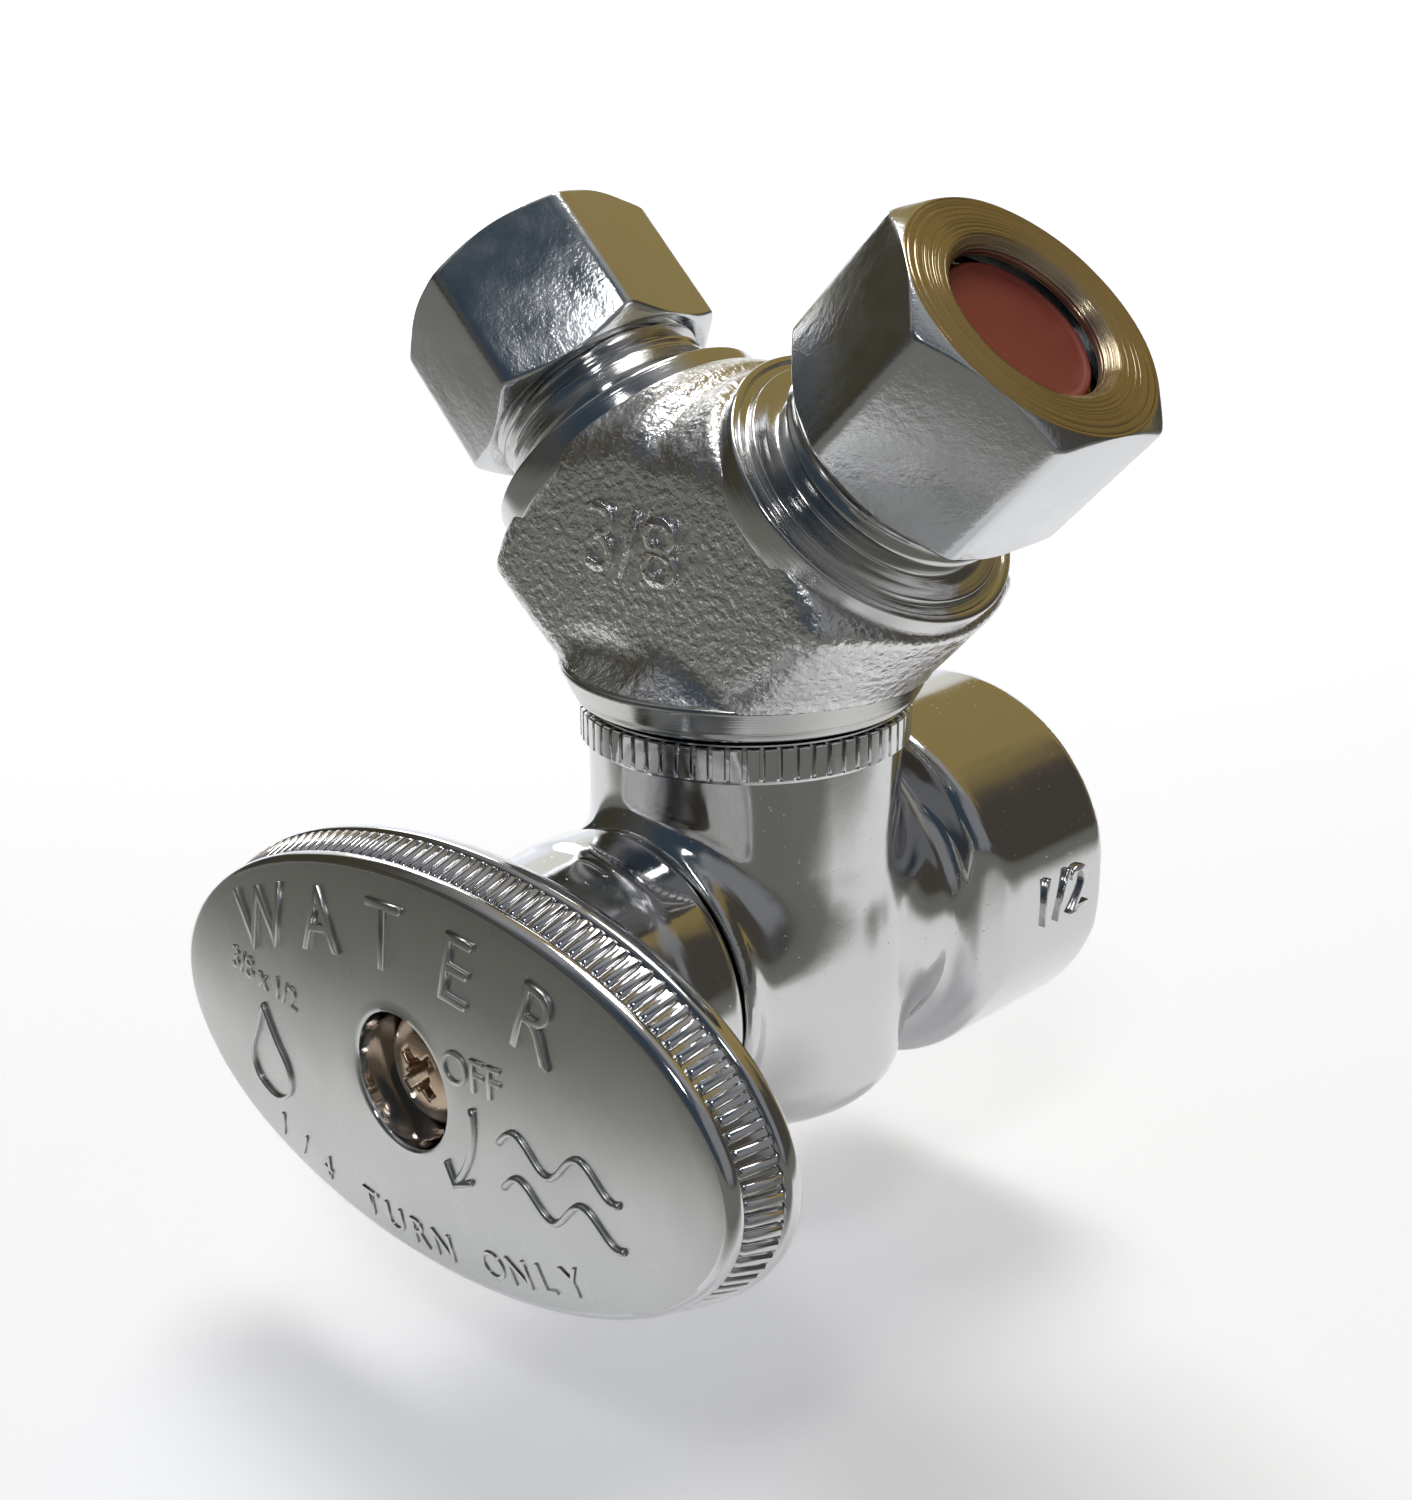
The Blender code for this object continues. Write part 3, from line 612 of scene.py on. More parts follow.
def nut(side):
    """Hexagon nut: chamfered both ends, ringed face, threaded bore."""
    axis, _ = outlet_axes(side)
    front = np.array([0.0, 1.0, 0.0])       # the hexagon's angle is counted from here
    count = 240
    half = NUT_AF / 2
    corner = half / cos(radians(30)) - 0.16
    low, high = NUT_D0, NUT_D1
    thread = np.arange(low + 0.5, 25.0, PITCH / 7)
    sections = []
    for k in range(count):
        angle = 2 * pi * k / count
        off = (degrees(angle) - NUT_TURN[side]) % 60 - 30
        radius = half / cos(radians(off))
        radius = radius - 0.5 * (radius - corner + sqrt((radius - corner) ** 2 + 0.01)) \
            if radius > corner - 0.4 else radius
        rise = max(radius - NUT_FACE_R, 0.02) * NUT_CHAMFER
        cut = thread_cut(thread, angle, PITCH, 0.5, low + 0.6, 24.9, 0.5)
        loop = fillet([(7.75, low), (NUT_FACE_R, low), (radius, low + rise), (radius, high - rise),
                       (NUT_FACE_R, high), (5.35, high), (HOLE_R, high - 0.5), (HOLE_R, 26.75),
                       (6.4, 25.2), (7.3, 25.05)],
                      {1: 0.15, 2: 0.22, 3: 0.22, 4: 0.12, 5: 0.2, 6: 0.15}, 3)
        loop += [(7.46 - 0.46 + c, s) for c, s in zip(cut[::-1], thread[::-1])]
        sections.append(loop)
    piece = wall(side + "_nut", (0, 0, V_Z), axis, front, sections, HEX, 32)

    def turned_face(spot):
        t, out = along(spot.reshape(1, 3), axis, (0, 0, V_Z))
        return t[0] > high - 0.9 and out[0] < NUT_FACE_R + 0.02
    refinish(piece, RINGED[side], turned_face)
    return piece


def plug(side):
    """Dust plug: a plain moulded cup bottom with a rounded rim."""
    axis, _ = outlet_axes(side)
    top = 26.45
    profile = fillet([(0, 18.2), (4.1, 18.2), (4.45, 18.6), (4.72, 22.2), (4.72, top - 0.05),
                      (4.45, top), (4.2, top - 0.14), (0, top - 0.22)],
                     {1: 0.2, 3: 0.3, 4: 0.3, 5: 0.2, 6: 0.3})
    return turned(side + "_plug", profile, RED, tuple(axis), (0, 0, V_Z), 96)


def skirt():
    """Turned skirt that screws down on the barrel, with its lathe lines."""
    profile = fillet([(0, 8.6), (7.8, 8.6), (7.95, 9.0), (7.95, 13.8), (7.3, 14.1), (7.3, SKIRT_Z0),
                      (10.25, SKIRT_Z0), (10.5, SKIRT_Z0 + 0.2), (10.55, 16.6), (10.72, 16.68),
                      (11.2, 17.75), (SKIRT_R1, 17.95), (11.3, SKIRT_Z1 + 0.12), (10.9, SKIRT_Z1 + 0.2),
                      (10.2, 18.3), (0, 18.4)],
                     {1: 0.2, 6: 0.15, 7: 0.15, 8: 0.05, 9: 0.05, 11: 0.15, 12: 0.1}, 3)
    drilled = [p for p in profile if p[0] > 0]
    bore = [(3.4, 18.4), (3.4, 8.6)]
    return turned("branch_skirt", drilled + bore, SKIRT, UP, (0, 0, 0), 160, closed=True)


# ------------------------------------------------------------------ repeated ribs
def rib_row(name, mat, half_length, half_width, count, rib):
    """Ribs stood evenly round an oval path with Geometry Nodes; returns the points and faces of one
    plain mesh lying round +Z, its points in millimetres."""
    tree = bpy.data.node_groups.new(name + "_tree", "GeometryNodeTree")
    face = tree.interface
    face.new_socket(name="Geometry", in_out='INPUT', socket_type='NodeSocketGeometry')
    sockets = {}
    for label, kind in (("Half Length", 'NodeSocketFloat'), ("Half Width", 'NodeSocketFloat'),
                        ("Count", 'NodeSocketInt'), ("Rib", 'NodeSocketObject'),
                        ("Finish", 'NodeSocketMaterial')):
        sockets[label] = face.new_socket(name=label, in_out='INPUT', socket_type=kind)
    face.new_socket(name="Geometry", in_out='OUTPUT', socket_type='NodeSocketGeometry')
    given = add(tree, "NodeGroupInput")
    circle = add(tree, "GeometryNodeCurvePrimitiveCircle", mode='RADIUS', in_Resolution=720,
                 in_Radius=1.0)
    size = add(tree, "ShaderNodeCombineXYZ", {0: given.outputs["Half Length"],
                                              1: given.outputs["Half Width"]}, in_2=1.0)
    path = add(tree, "GeometryNodeTransform", {"Geometry": circle.outputs["Curve"],
                                               "Scale": size.outputs[0]})
    spots = add(tree, "GeometryNodeCurveToPoints", {"Curve": path.outputs["Geometry"],
                                                    "Count": given.outputs["Count"]}, mode='COUNT')
    turn = add(tree, "FunctionNodeAxesToRotation", {"Primary Axis": spots.outputs["Tangent"]},
               primary_axis='X', secondary_axis='Z', in_Secondary_Axis=(0.0, 0.0, 1.0))
    shape = add(tree, "GeometryNodeObjectInfo", {"Object": given.outputs["Rib"]},
                transform_space='ORIGINAL')
    stand = add(tree, "GeometryNodeInstanceOnPoints",
                {"Points": spots.outputs["Points"], "Instance": shape.outputs["Geometry"],
                 "Rotation": turn.outputs["Rotation"]})
    real = add(tree, "GeometryNodeRealizeInstances", {"Geometry": stand.outputs["Instances"]})
    coat = add(tree, "GeometryNodeSetMaterial", {"Geometry": real.outputs["Geometry"],
                                                 "Material": given.outputs["Finish"]})
    add(tree, "NodeGroupOutput", {"Geometry": coat.outputs["Geometry"]})

    holder = bpy.data.objects.new(name + "_holder", bpy.data.meshes.new(name + "_holder"))
    bpy.context.collection.objects.link(holder)
    mod = holder.modifiers.new("ribs", 'NODES')
    mod.node_group = tree
    for label, value in (("Half Length", half_length), ("Half Width", half_width),
                         ("Count", count), ("Rib", rib), ("Finish", mat)):
        mod[sockets[label].identifier] = value
    bpy.context.view_layer.update()
    shown = holder.evaluated_get(bpy.context.evaluated_depsgraph_get())
    mesh = bpy.data.meshes.new_from_object(shown)
    points = np.zeros(len(mesh.vertices) * 3)
    mesh.vertices.foreach_get("co", points)
    faces = [tuple(f.vertices) for f in mesh.polygons]
    holder.modifiers.remove(mod)
    bpy.data.objects.remove(holder)
    bpy.data.objects.remove(rib)
    bpy.data.meshes.remove(mesh)
    return points.reshape(-1, 3), faces


def rib_shape(name, width, height, z0, z1, taper0, taper1, crest=0.45, lean=0.0):
    """One rounded bar: crest along Z, standing out along -Y, feet sunk 0.25 mm; it leans
    inwards by `lean` for each millimetre of its length."""
    across = [(-0.5, 0.0), (-0.46, -0.55), (-crest * 0.6, -0.95), (0.0, -1.0),
              (crest * 0.6, -0.95), (0.46, -0.55), (0.5, 0.0)]
    along_z = [(z0, 0.1), (z0 + taper0 * 0.35, 0.68), (z0 + taper0, 1.0), (z1 - taper1, 1.0),
               (z1 - taper1 * 0.35, 0.68), (z1, 0.1)]
    points, faces = [], []
    for z, full in along_z:
        sink = lean * (z - z0)
        points += [(a * width, b * height * full + sink, z) for a, b in across]
        points += [(0.5 * width, 0.25 + sink, z), (-0.5 * width, 0.25 + sink, z)]
    n = len(across) + 2
    for k in range(len(along_z) - 1):
        for i in range(n):
            j = (i + 1) % n
            faces.append((k * n + i, k * n + j, (k + 1) * n + j, (k + 1) * n + i))
    faces.append(tuple(range(n))[::-1])
    faces.append(tuple((len(along_z) - 1) * n + i for i in range(n)))
    mesh = bpy.data.meshes.new(name)
    mesh.from_pydata(points, [], faces)
    obj = bpy.data.objects.new(name, mesh)
    bpy.context.collection.objects.link(obj)
    return obj


# ------------------------------------------------------------------ handle
def canted(points):
    """Turns handle points about the stem, so the open handle stands a little off level."""
    p = np.array(points, float).reshape(-1, 3)
    c, s = cos(CANT), sin(CANT)
    x, z = p[:, 0] * c - p[:, 2] * s, p[:, 0] * s + p[:, 2] * c
    return np.stack([x, p[:, 1], z], 1)


FACE_A, FACE_B = HANDLE_A - FACE_INSET, HANDLE_B - FACE_INSET
FACE_EDGE_Y = -26.78
RIB_BACK, RIB_FRONT = 23.7, 25.84      # the ribs' ends, in front of the barrel axis
RIB_INSET, RIB_LEAN = 0.36, 0.35       # channel floor inside the outline, and its taper


def face_height(x, z):
    """Front of the domed handle face at a point."""
    q = (x / FACE_A) ** 2 + (z / FACE_B) ** 2
    return FACE_EDGE_Y - 1.12 * (1 - np.minimum(q, 1.0) ** 1.15)


def handle_plate():
    """Oval plate: dished back, channel for the ribs, rolled front edge, domed face, pocket."""
    count = 288
    t = np.linspace(0, 2 * pi, 4001)
    ex, ez = HANDLE_A * np.cos(t), HANDLE_B * np.sin(t)
    run = np.concatenate([[0], np.cumsum(np.hypot(np.diff(ex), np.diff(ez)))])
    t = np.interp(np.linspace(0, run[-1], count, endpoint=False), run, t)

    def oval(inset, y):
        # true inward offset of the oval, so the rolled edge keeps its width round the ends
        n = np.stack([np.cos(t) / HANDLE_A, np.sin(t) / HANDLE_B], 1)
        n /= np.linalg.norm(n, axis=1)[:, None]
        x = HANDLE_A * np.cos(t) - n[:, 0] * inset
        z = HANDLE_B * np.sin(t) - n[:, 1] * inset
        return np.stack([x, np.full(count, y), z], 1)

    def ring(radius, y):
        return np.stack([radius * np.cos(blend_angle), np.full(count, y),
                         radius * np.sin(blend_angle)], 1)

    outer = oval(FACE_INSET, FACE_EDGE_Y)
    blend_angle = np.arctan2(outer[:, 2], outer[:, 0])
    rows = [ring(5.0, -23.55), ring(8.0, -23.55)]
    inner = oval(2.6, -23.55)
    for k in (0.3, 0.65):
        rows.append(ring(8.0, -23.55) * (1 - k) + inner * k)
    # from the dished back round the outer edge, over the ribs' channel, to the face
    edge = [(2.3, -23.45), (1.5, -22.75), (1.25, -22.5), (1.0, -22.42), (0.6, -22.4), (0.3, -22.44),
            (0.12, -22.56), (0.04, -22.75), (0.0, -23.0), (-0.02, -23.35), (0.02, -23.56),
            (0.14, -23.66), (RIB_INSET, -23.72), (RIB_INSET + 0.02, -23.8), (1.08, -25.74),
            (1.06, -25.82), (0.84, -25.86), (0.72, -25.93), (0.68, -26.05), (0.69, -26.2),
            (0.74, -26.38), (0.83, -26.55), (0.96, -26.68), (1.1, -26.75)]
    rows += [inner] + [oval(inset, y) for inset, y in edge] + [outer]
    rim = ring(POCKET_R + 0.35, 0.0)
    for k in np.linspace(0, 1, 17)[1:]:
        flat = outer * (1 - k) + rim * k
        flat[:, 1] = face_height(flat[:, 0], flat[:, 2])
        rows.append(flat)
    crest = face_height(POCKET_R, 0.0)
    rows += [ring(POCKET_R + 0.16, crest + 0.03), ring(POCKET_R + 0.05, crest + 0.1),
             ring(POCKET_R, crest + 0.25), ring(POCKET_R - 0.03, -24.2),
             ring(POCKET_R - 0.12, -23.98), ring(POCKET_R - 0.3, -23.9), ring(1.9, -23.9),
             ring(1.9, -23.6)]
    points = np.concatenate(rows)
    index = [list(range(k * count, (k + 1) * count)) for k in range(len(rows))]
    plate = mesh_object("handle_plate", canted(points), ring_faces(index, count, True), SATIN, 50)

    def polished(spot):
        x = spot[0] * cos(CANT) + spot[2] * sin(CANT)
        z = spot[2] * cos(CANT) - spot[0] * sin(CANT)
        return (hypot(x / FACE_A, z / FACE_B) > 1.0
                or (hypot(x, z) < POCKET_R + 0.1 and spot[1] < -23.95))
    refinish(plate, RIM, polished)
    return plate


def handle_ribs():
    rib = rib_shape("handle_rib", 0.62, 0.36, RIB_BACK, RIB_FRONT, 0.22, 0.26, lean=RIB_LEAN)
    points, faces = rib_row("handle_ribs", RIM, HANDLE_A - RIB_INSET, HANDLE_B - RIB_INSET, 128,
                            rib)
    # the row lies round +Z; the handle lies round the stem, with its front towards -Y
    points = np.stack([points[:, 0], -points[:, 2], points[:, 1]], 1)
    return mesh_object("handle_ribs", canted(points), faces, RIM, 40)


def handle_hub():
    profile = fillet([(7.3, -10.2), (8.9, -10.2), (9.45, -10.45), (9.65, -11.0), (9.66, -13.7),
                      (9.42, -14.6), (9.25, -18.0), (9.2, -20.2), (9.45, -21.6), (10.3, -23.0),
                      (10.6, -23.6), (7.3, -23.6)],
                     {1: 0.25, 2: 0.3, 3: 0.5, 4: 0.6, 5: 0.6, 7: 0.8, 8: 1.0, 9: 0.8}, 4)
    return turned("handle_hub", profile, HUB, OUT, (0, 0, 0), 144, closed=True)


def barrel_knurl():
    """Straight knurl round the barrel mouth, on its own narrow band."""
    rib = rib_shape("barrel_rib", 0.8, 0.34, 13.52, 15.6, 0.14, 0.14, 0.68)
    base = BAND_R - 0.34
    points, faces = rib_row("barrel_knurl", RIM, base, base, 64, rib)
    return mesh_object("barrel_knurl", points, faces, RIM, 30)


def barrel_band():
    base = BAND_R - 0.32
    profile = fillet([(9.3, 13.2), (9.62, 13.2), (9.75, 13.45), (base, 13.6), (base, 15.5),
                      (base - 0.15, 15.68), (9.3, 15.68)], {2: 0.1, 3: 0.1, 4: 0.1}, 2)
    return turned("barrel_band", profile, RIM, UP, (0, 0, 0), 144, closed=True)


def inlet_thread():
    """Tapered pipe thread inside the socket."""
    low, high = 11.2, 22.0
    steps = np.arange(low, high, PIPE_PITCH / 10)
    sections = []
    count = 128
    for k in range(count):
        cut = thread_cut(steps, 2 * pi * k / count, PIPE_PITCH, 0.95, low, high)
        crest = 9.25 + (steps - low) * PIPE_TAPER
        loop = [(10.5, low), (10.9, high), (10.55, high + 0.05)]
        loop += [(r + c, s) for r, c, s in zip(crest, cut, steps)][::-1]
        loop += [(9.3, 10.85)]
        sections.append(loop)
    return wall("inlet_thread", (0, 0, 0), OUT, UP, sections, BRASS)


# ------------------------------------------------------------------ raised marks
def glyph(text, height, stroke, edge=0.05):
    """Flat letter as a closed, softly bevelled slab: points (x, y, 0..1) and faces."""
    curve = bpy.data.curves.new("glyph", 'FONT')
    curve.body = text
    curve.size = height / 0.73
    curve.offset = stroke
    curve.extrude = 0.10
    curve.bevel_depth = edge
    curve.bevel_resolution = 1
    curve.resolution_u = 6
    curve.align_x = 'CENTER'
    obj = bpy.data.objects.new("glyph", curve)
    bpy.context.collection.objects.link(obj)
    bpy.context.view_layer.update()
    mesh = bpy.data.meshes.new_from_object(obj.evaluated_get(
        bpy.context.evaluated_depsgraph_get()))
    bm = bmesh.new()
    bm.from_mesh(mesh)
    bmesh.ops.remove_doubles(bm, verts=bm.verts, dist=1e-5)
    points = np.array([v.co[:] for v in bm.verts])
    faces = [tuple(v.index for v in f.verts) for f in bm.faces]
    bm.free()
    bpy.data.objects.remove(obj)
    bpy.data.curves.remove(curve)
    bpy.data.meshes.remove(mesh)
    low, high = points[:, 2].min(), points[:, 2].max()
    points[:, 2] = (points[:, 2] - low) / (high - low)
    return points, faces


def stroke_path(points, width, closed=False):
    """Raised line of even width with a rounded crest, along flat (x, y) points."""
    p = np.array(points, float)
    n = len(p)
    ahead = np.roll(p, -1, 0) if closed else np.vstack([p[1:], p[-1:]])
    behind = np.roll(p, 1, 0) if closed else np.vstack([p[:1], p[:-1]])
    way = ahead - behind
    way /= np.linalg.norm(way, axis=1)[:, None]
    side = np.stack([-way[:, 1], way[:, 0]], 1)
    section = [(-0.5, 0.0), (-0.42, 0.7), (-0.15, 1.0), (0.15, 1.0), (0.42, 0.7), (0.5, 0.0)]
    out, faces = [], []
    for k in range(n):
        for a, h in section:
            q = p[k] + side[k] * a * width
            out.append((q[0], q[1], h))
    m = len(section)
    for k in range(n if closed else n - 1):
        nxt = (k + 1) % n
        for i in range(m):
            j = (i + 1) % m
            faces.append((k * m + i, k * m + j, nxt * m + j, nxt * m + i))
    if not closed:
        faces.append(tuple(range(m))[::-1])
        faces.append(tuple((n - 1) * m + i for i in range(m)))
    return np.array(out), faces


def curve_through(points, count):
    """Smooth open curve through flat points."""
    p = np.array(points, float)
    t = np.linspace(0, len(p) - 1, count)
    padded = np.vstack([2 * p[0] - p[1], p, 2 * p[-1] - p[-2]])
    out = []
    for s in t:
        i = min(int(s), len(p) - 2)
        f = s - i
        a, b, c, d = padded[i:i + 4]
        out.append(0.5 * (2 * b + (c - a) * f + (2 * a - 5 * b + 4 * c - d) * f * f
                          + (3 * b - a - 3 * c + d) * f ** 3))
    return np.array(out)


def merge(parts):
    points, faces, start = [], [], 0
    for p, f in parts:
        points.append(p)
        faces += [tuple(i + start for i in face) for face in f]
        start += len(p)
    return np.concatenate(points), faces


def laid(part, x, y, tilt=0.0, rise=1.0):
    """Moves a flat part to its spot, turned by `tilt`; a rise under 1 makes it stand lower."""
    p, f = part
    c, s = cos(tilt), sin(tilt)
    out = p.copy()
    out[:, 0] = p[:, 0] * c - p[:, 1] * s + x
    out[:, 1] = p[:, 0] * s + p[:, 1] * c + y
    out[:, 2] = p[:, 2] * rise
    return out, f


def handle_marks():
    """Raised operating marks cast on the face."""
    parts = []
    # arched word over the screw; each letter stands square to the arc
    for letter, x in zip("WATER", (-12.6, -6.6, -0.8, 5.0, 10.8)):
        lean = -(x + 0.8) / 40.0
        base = 6.35 - 40.0 * (1 - cos(lean))
        parts.append(laid(glyph(letter, 4.0, -0.08, 0.06), x, base, lean))
    # word under the screw, on an arc that opens upwards
    text = "1/4 TURN ONLY"
    for k, x in enumerate(np.linspace(-14.0, 12.6, len(text))):
        if text[k] != " ":
            lean = x / 38.0
            parts.append(laid(glyph(text[k], 1.85, -0.015, 0.02), x, -10.6 + 38.0 * (1 - cos(lean)), lean,
                              0.62))
    parts.append(laid(glyph("OFF", 2.0, -0.015, 0.02), 6.3, 1.4, 0.0, 0.68))
    parts.append(laid(glyph("3/8 x 1/2", 1.5, 0.0, 0.01), -13.4, 1.9, radians(-8), 0.58))
    # arrow for the closing turn
    arc = [(6.2 * cos(radians(a)), 6.2 * sin(radians(a))) for a in np.linspace(3, -46, 16)]
    tip = arc[-1]
    parts.append(stroke_path(arc, 0.5))
    parts.append(stroke_path([(tip[0] - 0.75, tip[1] + 0.95), (tip[0] - 0.35, tip[1] - 0.45),
                              (tip[0] + 1.15, tip[1] + 0.25)], 0.42))
    # water drop outline
    drop = curve_through([(0, 3.6), (-1.2, 1.4), (-2.4, -0.6), (-2.1, -2.5), (0, -3.5),
                          (2.1, -2.5), (2.4, -0.6), (1.2, 1.4), (0, 3.6)], 49)[:-1]
    parts.append(laid(stroke_path(drop * 0.86, 0.3, True), -13.6, -2.3))
    # two ripples
    for z in (-0.9, -3.5):
        wave = [(8.2 + s, z + 0.85 * sin(s * 2 * pi / 4.6)) for s in np.linspace(0, 8.4, 45)]
        parts.append(stroke_path(wave, 0.42))
    points, faces = merge(parts)
    x, z, rise = points[:, 0], points[:, 1], points[:, 2]
    y = face_height(x, z) + SUNK - rise * 0.36
    return mesh_object("handle_marks", canted(np.stack([x, y, z], 1)), faces, SATIN)


def branch_marks():
    """Raised size numbers on the flat front of the forging."""
    points, faces = laid(glyph("3/8", 4.4, -0.05), -0.6, 24.6, radians(-3))
    y = -FORGING_HALF + SUNK - points[:, 2] * 0.5
    return mesh_object("branch_marks", np.stack([points[:, 0], y, points[:, 1]], 1), faces,
                       FORGED_MARK)


def inlet_marks():
    """Raised size numbers on the right wrench flat of the pipe socket."""
    points, faces = laid(glyph("1/2", 3.5, -0.04), 17.8, -1.3)
    x = FLAT_X - SUNK + points[:, 2] * 0.36
    return mesh_object("inlet_marks", np.stack([x, points[:, 0], points[:, 1]], 1), faces, CAST)


SCREW_HEAD = fillet([(0, -22.6), (1.4, -22.6), (1.4, -23.95), (3.4, -23.95), (3.55, -24.9),
                     (3.1, -25.95), (2.0, -26.55), (0, -26.7)], {3: 0.2, 4: 0.3, 5: 0.8, 6: 0.9}, 4)


def screw_field(p):
    """Pan head with a cross recess."""
    t, out = along(p, OUT)
    head = outline_distance(t, out, SCREW_HEAD)
    x, z = p[:, 0], p[:, 2]
    u, v = (x + z) * 0.7071, (z - x) * 0.7071
    deep = np.clip((RECESS_Y - p[:, 1]) / 1.3, 0, 1)
    arms = []
    for a, b in ((u, v), (v, u)):
        arms.append(np.maximum(np.abs(a) - 0.75 - 0.95 * deep, np.abs(b) - 0.27 - 0.12 * deep))
    core = np.maximum(np.abs(u), np.abs(v)) - 0.5 - 0.25 * deep
    recess = np.maximum(smooth_min(np.minimum(arms[0], arms[1]), core, 0.25), p[:, 1] - RECESS_Y)
    return smooth_max(head, -recess, 0.12)


def handle_screw():
    return skinned("pan_head_screw", screw_field, (-3.8, -27.0, -3.8), (3.8, -22.2, 3.8), 0.085,
                   SCREW)


# ------------------------------------------------------------------ assembly

def show(piece, body, slot, *nodes):
    """Hands a finished piece to its moving body and hides the CAD nodes it stands for. The finish slot is
    not used.
    """
    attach(piece, body)
    if nodes:
        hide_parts(*nodes)


casting = skinned("valve_casting", body_field, (-13.2, -17.6, -15.2), (13.2, 23.6, 15.6), 0.3, CAST)
for piece in (casting, barrel_band(), barrel_knurl(), inlet_thread(), inlet_marks()):
    show(piece, "valve", "polished_chrome", "valve_body")
forging = skinned("branch_forging", forging_field, (-16.6, -11.6, 17.4), (16.6, 11.6, 38.0), 0.22,
                  FORGED)
for piece in (forging, skirt(), branch_marks()):
    show(piece, "valve", "satin_chrome_forging", "branch_fitting")
for side in SIDES:
    show(outlet(side), "valve", "satin_chrome_forging", "branch_fitting")
    show(nut(side), side + "_nut", "nut_chrome", side + "_compression_nut")
    show(plug(side), side + "_plug", "red_polythene", side + "_dust_plug")
for piece in (handle_plate(), handle_ribs(), handle_hub(), handle_marks()):
    show(piece, "shutoff", "satin_chrome_handle", "handle")
show(handle_screw(), "shutoff", "bright_screw_steel", "handle_screw")

INNER = {"ball": CAST, "stem": BRASS, "stem_thrust_washer": PTFE, "stem_o_ring_inner": RUBBER,
         "stem_o_ring_outer": RUBBER, "branch_seal": RUBBER, "lower_seat": PTFE,
         "upper_seat": PTFE, "right_ferrule": BRASS, "left_ferrule": BRASS}
for node, finish in INNER.items():
    for place_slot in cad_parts[node].material_slots:
        place_slot.material = finish


# ------------------------------------------------------------------ floor, sweep and light
GROUND = -0.0252      # metres; clears the handle, which reaches 24.3 mm when it is turned down
AWAY = Vector((-0.723, 0.691, 0.0)).normalized()      # from the lens over the object to the sweep
WIDE = Vector((AWAY.y, -AWAY.x, 0.0))

# The room as broad soft patches: direction, how wide (cosine where it starts and is full),
# colour and brightness. Later rows lie over earlier ones.
ROOM = [((0.0, 0.0, 1.0), 0.3, 0.95, "#aaabad", 0.9),      # pale ceiling
        ((-0.15, 0.8, 0.5), 0.5, 0.85, "#a8945f", 0.85),     # warm wall behind
        ((-1.0, -0.06, 0.05), 0.62, 0.93, "#4d493b", 0.8),    # dark olive at the left
        ((0.25, -0.74, 0.62), 0.6, 0.93, "#3d4a56", 0.9),     # cool dark above the front
        ((0.85, -0.2, 0.4), 0.8, 0.95, "#8d8f92", 0.9),      # grey wall, front right
        ((-0.75, 0.55, 0.3), 0.9, 0.97, "#efefe8", 1.1),     # pale window, back left
        ((0.62, 0.7, 0.3), 0.86, 0.97, "#55504a", 0.8)]     # dark doorway, back right


def sweep():
    """Pale glowing table that curves up behind; its tone falls off to the sides and the front as painted
    shade.
    """
    mat, tree, shader, xyz = new_material("painted_studio_sweep", "#fbfbfb", 0.0, 0.9)
    far = add(tree, "ShaderNodeVectorMath", {0: xyz}, operation='DOT_PRODUCT', in_1=tuple(AWAY))
    off = add(tree, "ShaderNodeVectorMath", {0: xyz}, operation='DOT_PRODUCT', in_1=tuple(WIDE))
    off = add(tree, "ShaderNodeMath", {0: off.outputs["Value"]}, operation='ABSOLUTE')
    room = add(tree, "ShaderNodeMath", {0: far.outputs["Value"]}, operation='MULTIPLY_ADD',
               in_1=0.48, in_2=0.085)
    past = add(tree, "ShaderNodeMath", {0: off.outputs[0], 1: room.outputs[0]},
               operation='SUBTRACT')
    near = add(tree, "ShaderNodeMath", {0: far.outputs["Value"]}, operation='MULTIPLY_ADD',
               in_1=-1.6, in_2=-0.09)
    past = add(tree, "ShaderNodeMath", {0: past.outputs[0], 1: near.outputs[0]},
               operation='MAXIMUM')
    # painted shade: the sweep turns from pale to dark grey outside the wedge the lens sees and close in
    # front of the object, so the chrome mirrors shade there
    dim = add(tree, "ShaderNodeMapRange", {"Value": past.outputs[0]},
              interpolation_type='SMOOTHSTEP', in_1=-0.002, in_2=0.05)
    two_tone(tree, shader, dim.outputs["Result"], "#fbfbfb", "#8b8c87")
    # painted glow: the sweep gives off light of its own, more towards the back and less where the painted
    # shade lies
    glow = add(tree, "ShaderNodeMapRange", {"Value": far.outputs["Value"]}, in_1=0.0, in_2=0.9,
               in_3=0.26, in_4=0.85)
    lit = add(tree, "ShaderNodeMath", {0: dim.outputs["Result"], 2: glow.outputs["Result"]},
              operation='MULTIPLY_ADD', in_1=-0.85)
    lit = add(tree, "ShaderNodeMath", {0: lit.outputs[0]}, operation='MAXIMUM', in_1=0.0)
    shader.inputs["Emission Color"].default_value = linear("#f2f5ff")
    tree.links.new(lit.outputs[0], shader.inputs["Emission Strength"])
    rows = [(-0.9, GROUND)]
    rows += [(0.9 + 0.6 * sin(a), GROUND + 0.6 * (1 - cos(a)))
             for a in np.linspace(0, radians(65), 21)]
    verts = [tuple(AWAY * d + WIDE * w + Vector((0, 0, h))) for d, h in rows for w in (-2.2, 2.2)]
    faces = [(2 * k, 2 * k + 1, 2 * k + 3, 2 * k + 2) for k in range(len(rows) - 1)]
    mesh = bpy.data.meshes.new("floor")
    mesh.from_pydata(verts, [], faces)
    mesh.materials.append(mat)
    mesh.shade_smooth()
    floor = bpy.data.objects.new("floor", mesh)
    bpy.context.collection.objects.link(floor)


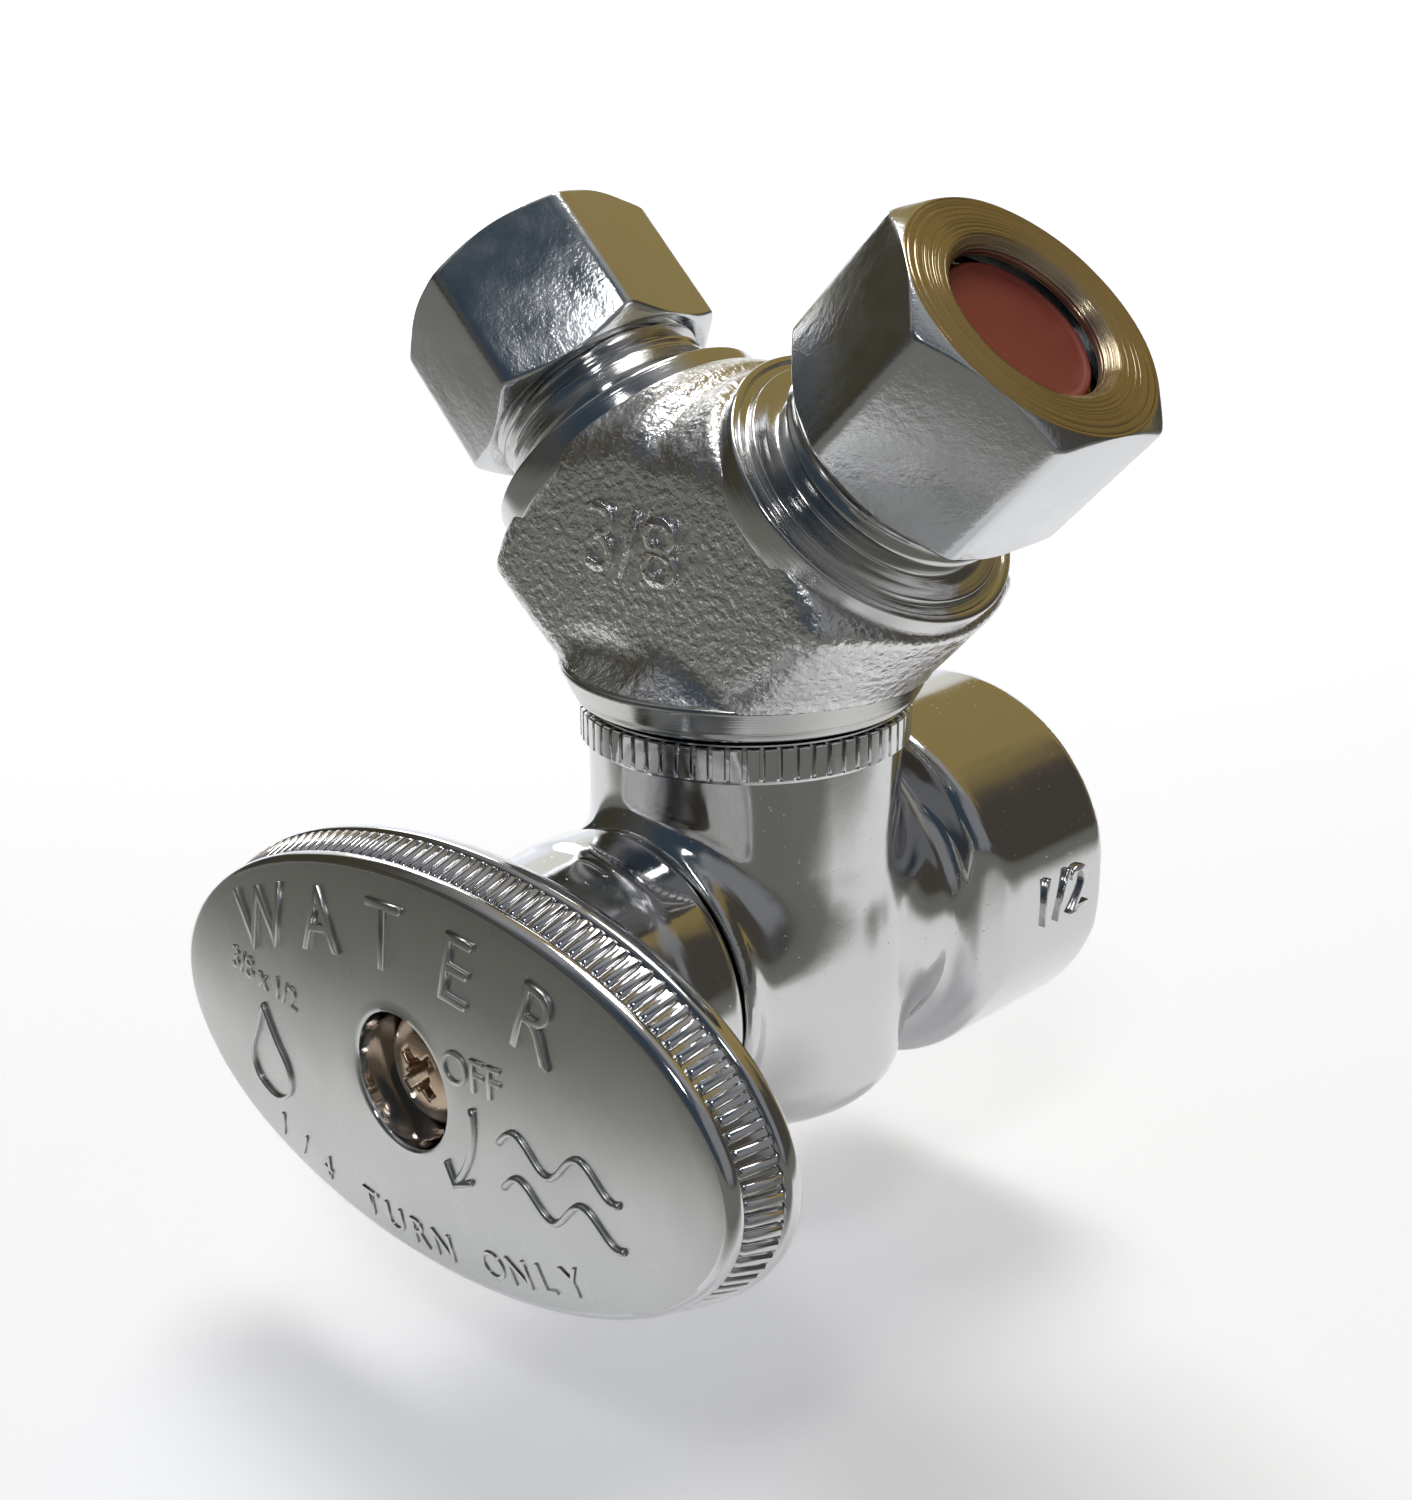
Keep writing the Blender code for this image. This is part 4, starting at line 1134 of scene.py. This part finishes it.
def surround():
    """World light: a dim room with broad tinted patches, so chrome has something to mirror."""
    world = bpy.data.worlds.new("studio_surround")
    bpy.context.scene.world = world
    world.use_nodes = True
    tree = world.node_tree
    back = tree.nodes["Background"]
    way = add(tree, "ShaderNodeTexCoord").outputs["Generated"]
    stray = add(tree, "ShaderNodeTexNoise", {"Vector": way}, in_Scale=2.6, in_Detail=3.0,
                in_Roughness=0.55)
    stray = add(tree, "ShaderNodeVectorMath", {0: stray.outputs["Color"]}, operation='SUBTRACT',
                in_1=(0.5, 0.5, 0.5))
    stray = add(tree, "ShaderNodeVectorMath", {0: stray.outputs[0]}, operation='SCALE', in_3=0.7)
    bent = add(tree, "ShaderNodeVectorMath", {0: way, 1: stray.outputs[0]}, operation='ADD')
    bent = add(tree, "ShaderNodeVectorMath", {0: bent.outputs[0]}, operation='NORMALIZE')
    base = add(tree, "ShaderNodeRGB")
    base.outputs[0].default_value = linear("#4f4e4d")
    colour = base.outputs[0]
    for direction, start, full, code, power in ROOM:
        facing = add(tree, "ShaderNodeVectorMath", {0: bent.outputs[0]}, operation='DOT_PRODUCT',
                     in_1=tuple(Vector(direction).normalized()))
        amount = add(tree, "ShaderNodeMapRange", {"Value": facing.outputs["Value"]},
                     interpolation_type='SMOOTHSTEP', in_1=start, in_2=full)
        mix = add(tree, "ShaderNodeMix", {0: amount.outputs["Result"], 6: colour},
                  data_type='RGBA')
        mix.inputs[7].default_value = [v * power for v in linear(code)[:3]] + [1.0]
        colour = mix.outputs[2]
    tree.links.new(colour, back.inputs["Color"])
    back.inputs["Strength"].default_value = 1.0


HEART = Vector((0.0, -0.0228, 0.012))       # the lights face this point


def softbox(name, spot, size, power, code):
    data = bpy.data.lights.new(name, 'AREA')
    data.shape = 'RECTANGLE'
    data.size, data.size_y = size
    data.energy = power
    data.color = linear(code)[:3]
    obj = bpy.data.objects.new(name, data)
    way = HEART - Vector(spot)
    obj.matrix_world = (Matrix.Translation(Vector(spot))
                        @ way.to_track_quat('-Z', 'Y').to_matrix().to_4x4())
    bpy.context.collection.objects.link(obj)


sweep()
surround()
softbox("top_softbox", (-0.12, 0.1, 0.8), (0.3, 0.3), 2.6, "#ffffff")
softbox("left_softbox", (-0.75, 0.35, 0.45), (0.2, 0.35), 1.2, "#f2f6ff")
softbox("front_softbox", (0.35, -0.55, 0.75), (0.12, 0.12), 0.9, "#ffffff")

look = bpy.context.scene.view_settings
look.view_transform = 'Standard'
look.look = 'None'
look.exposure = 0.0
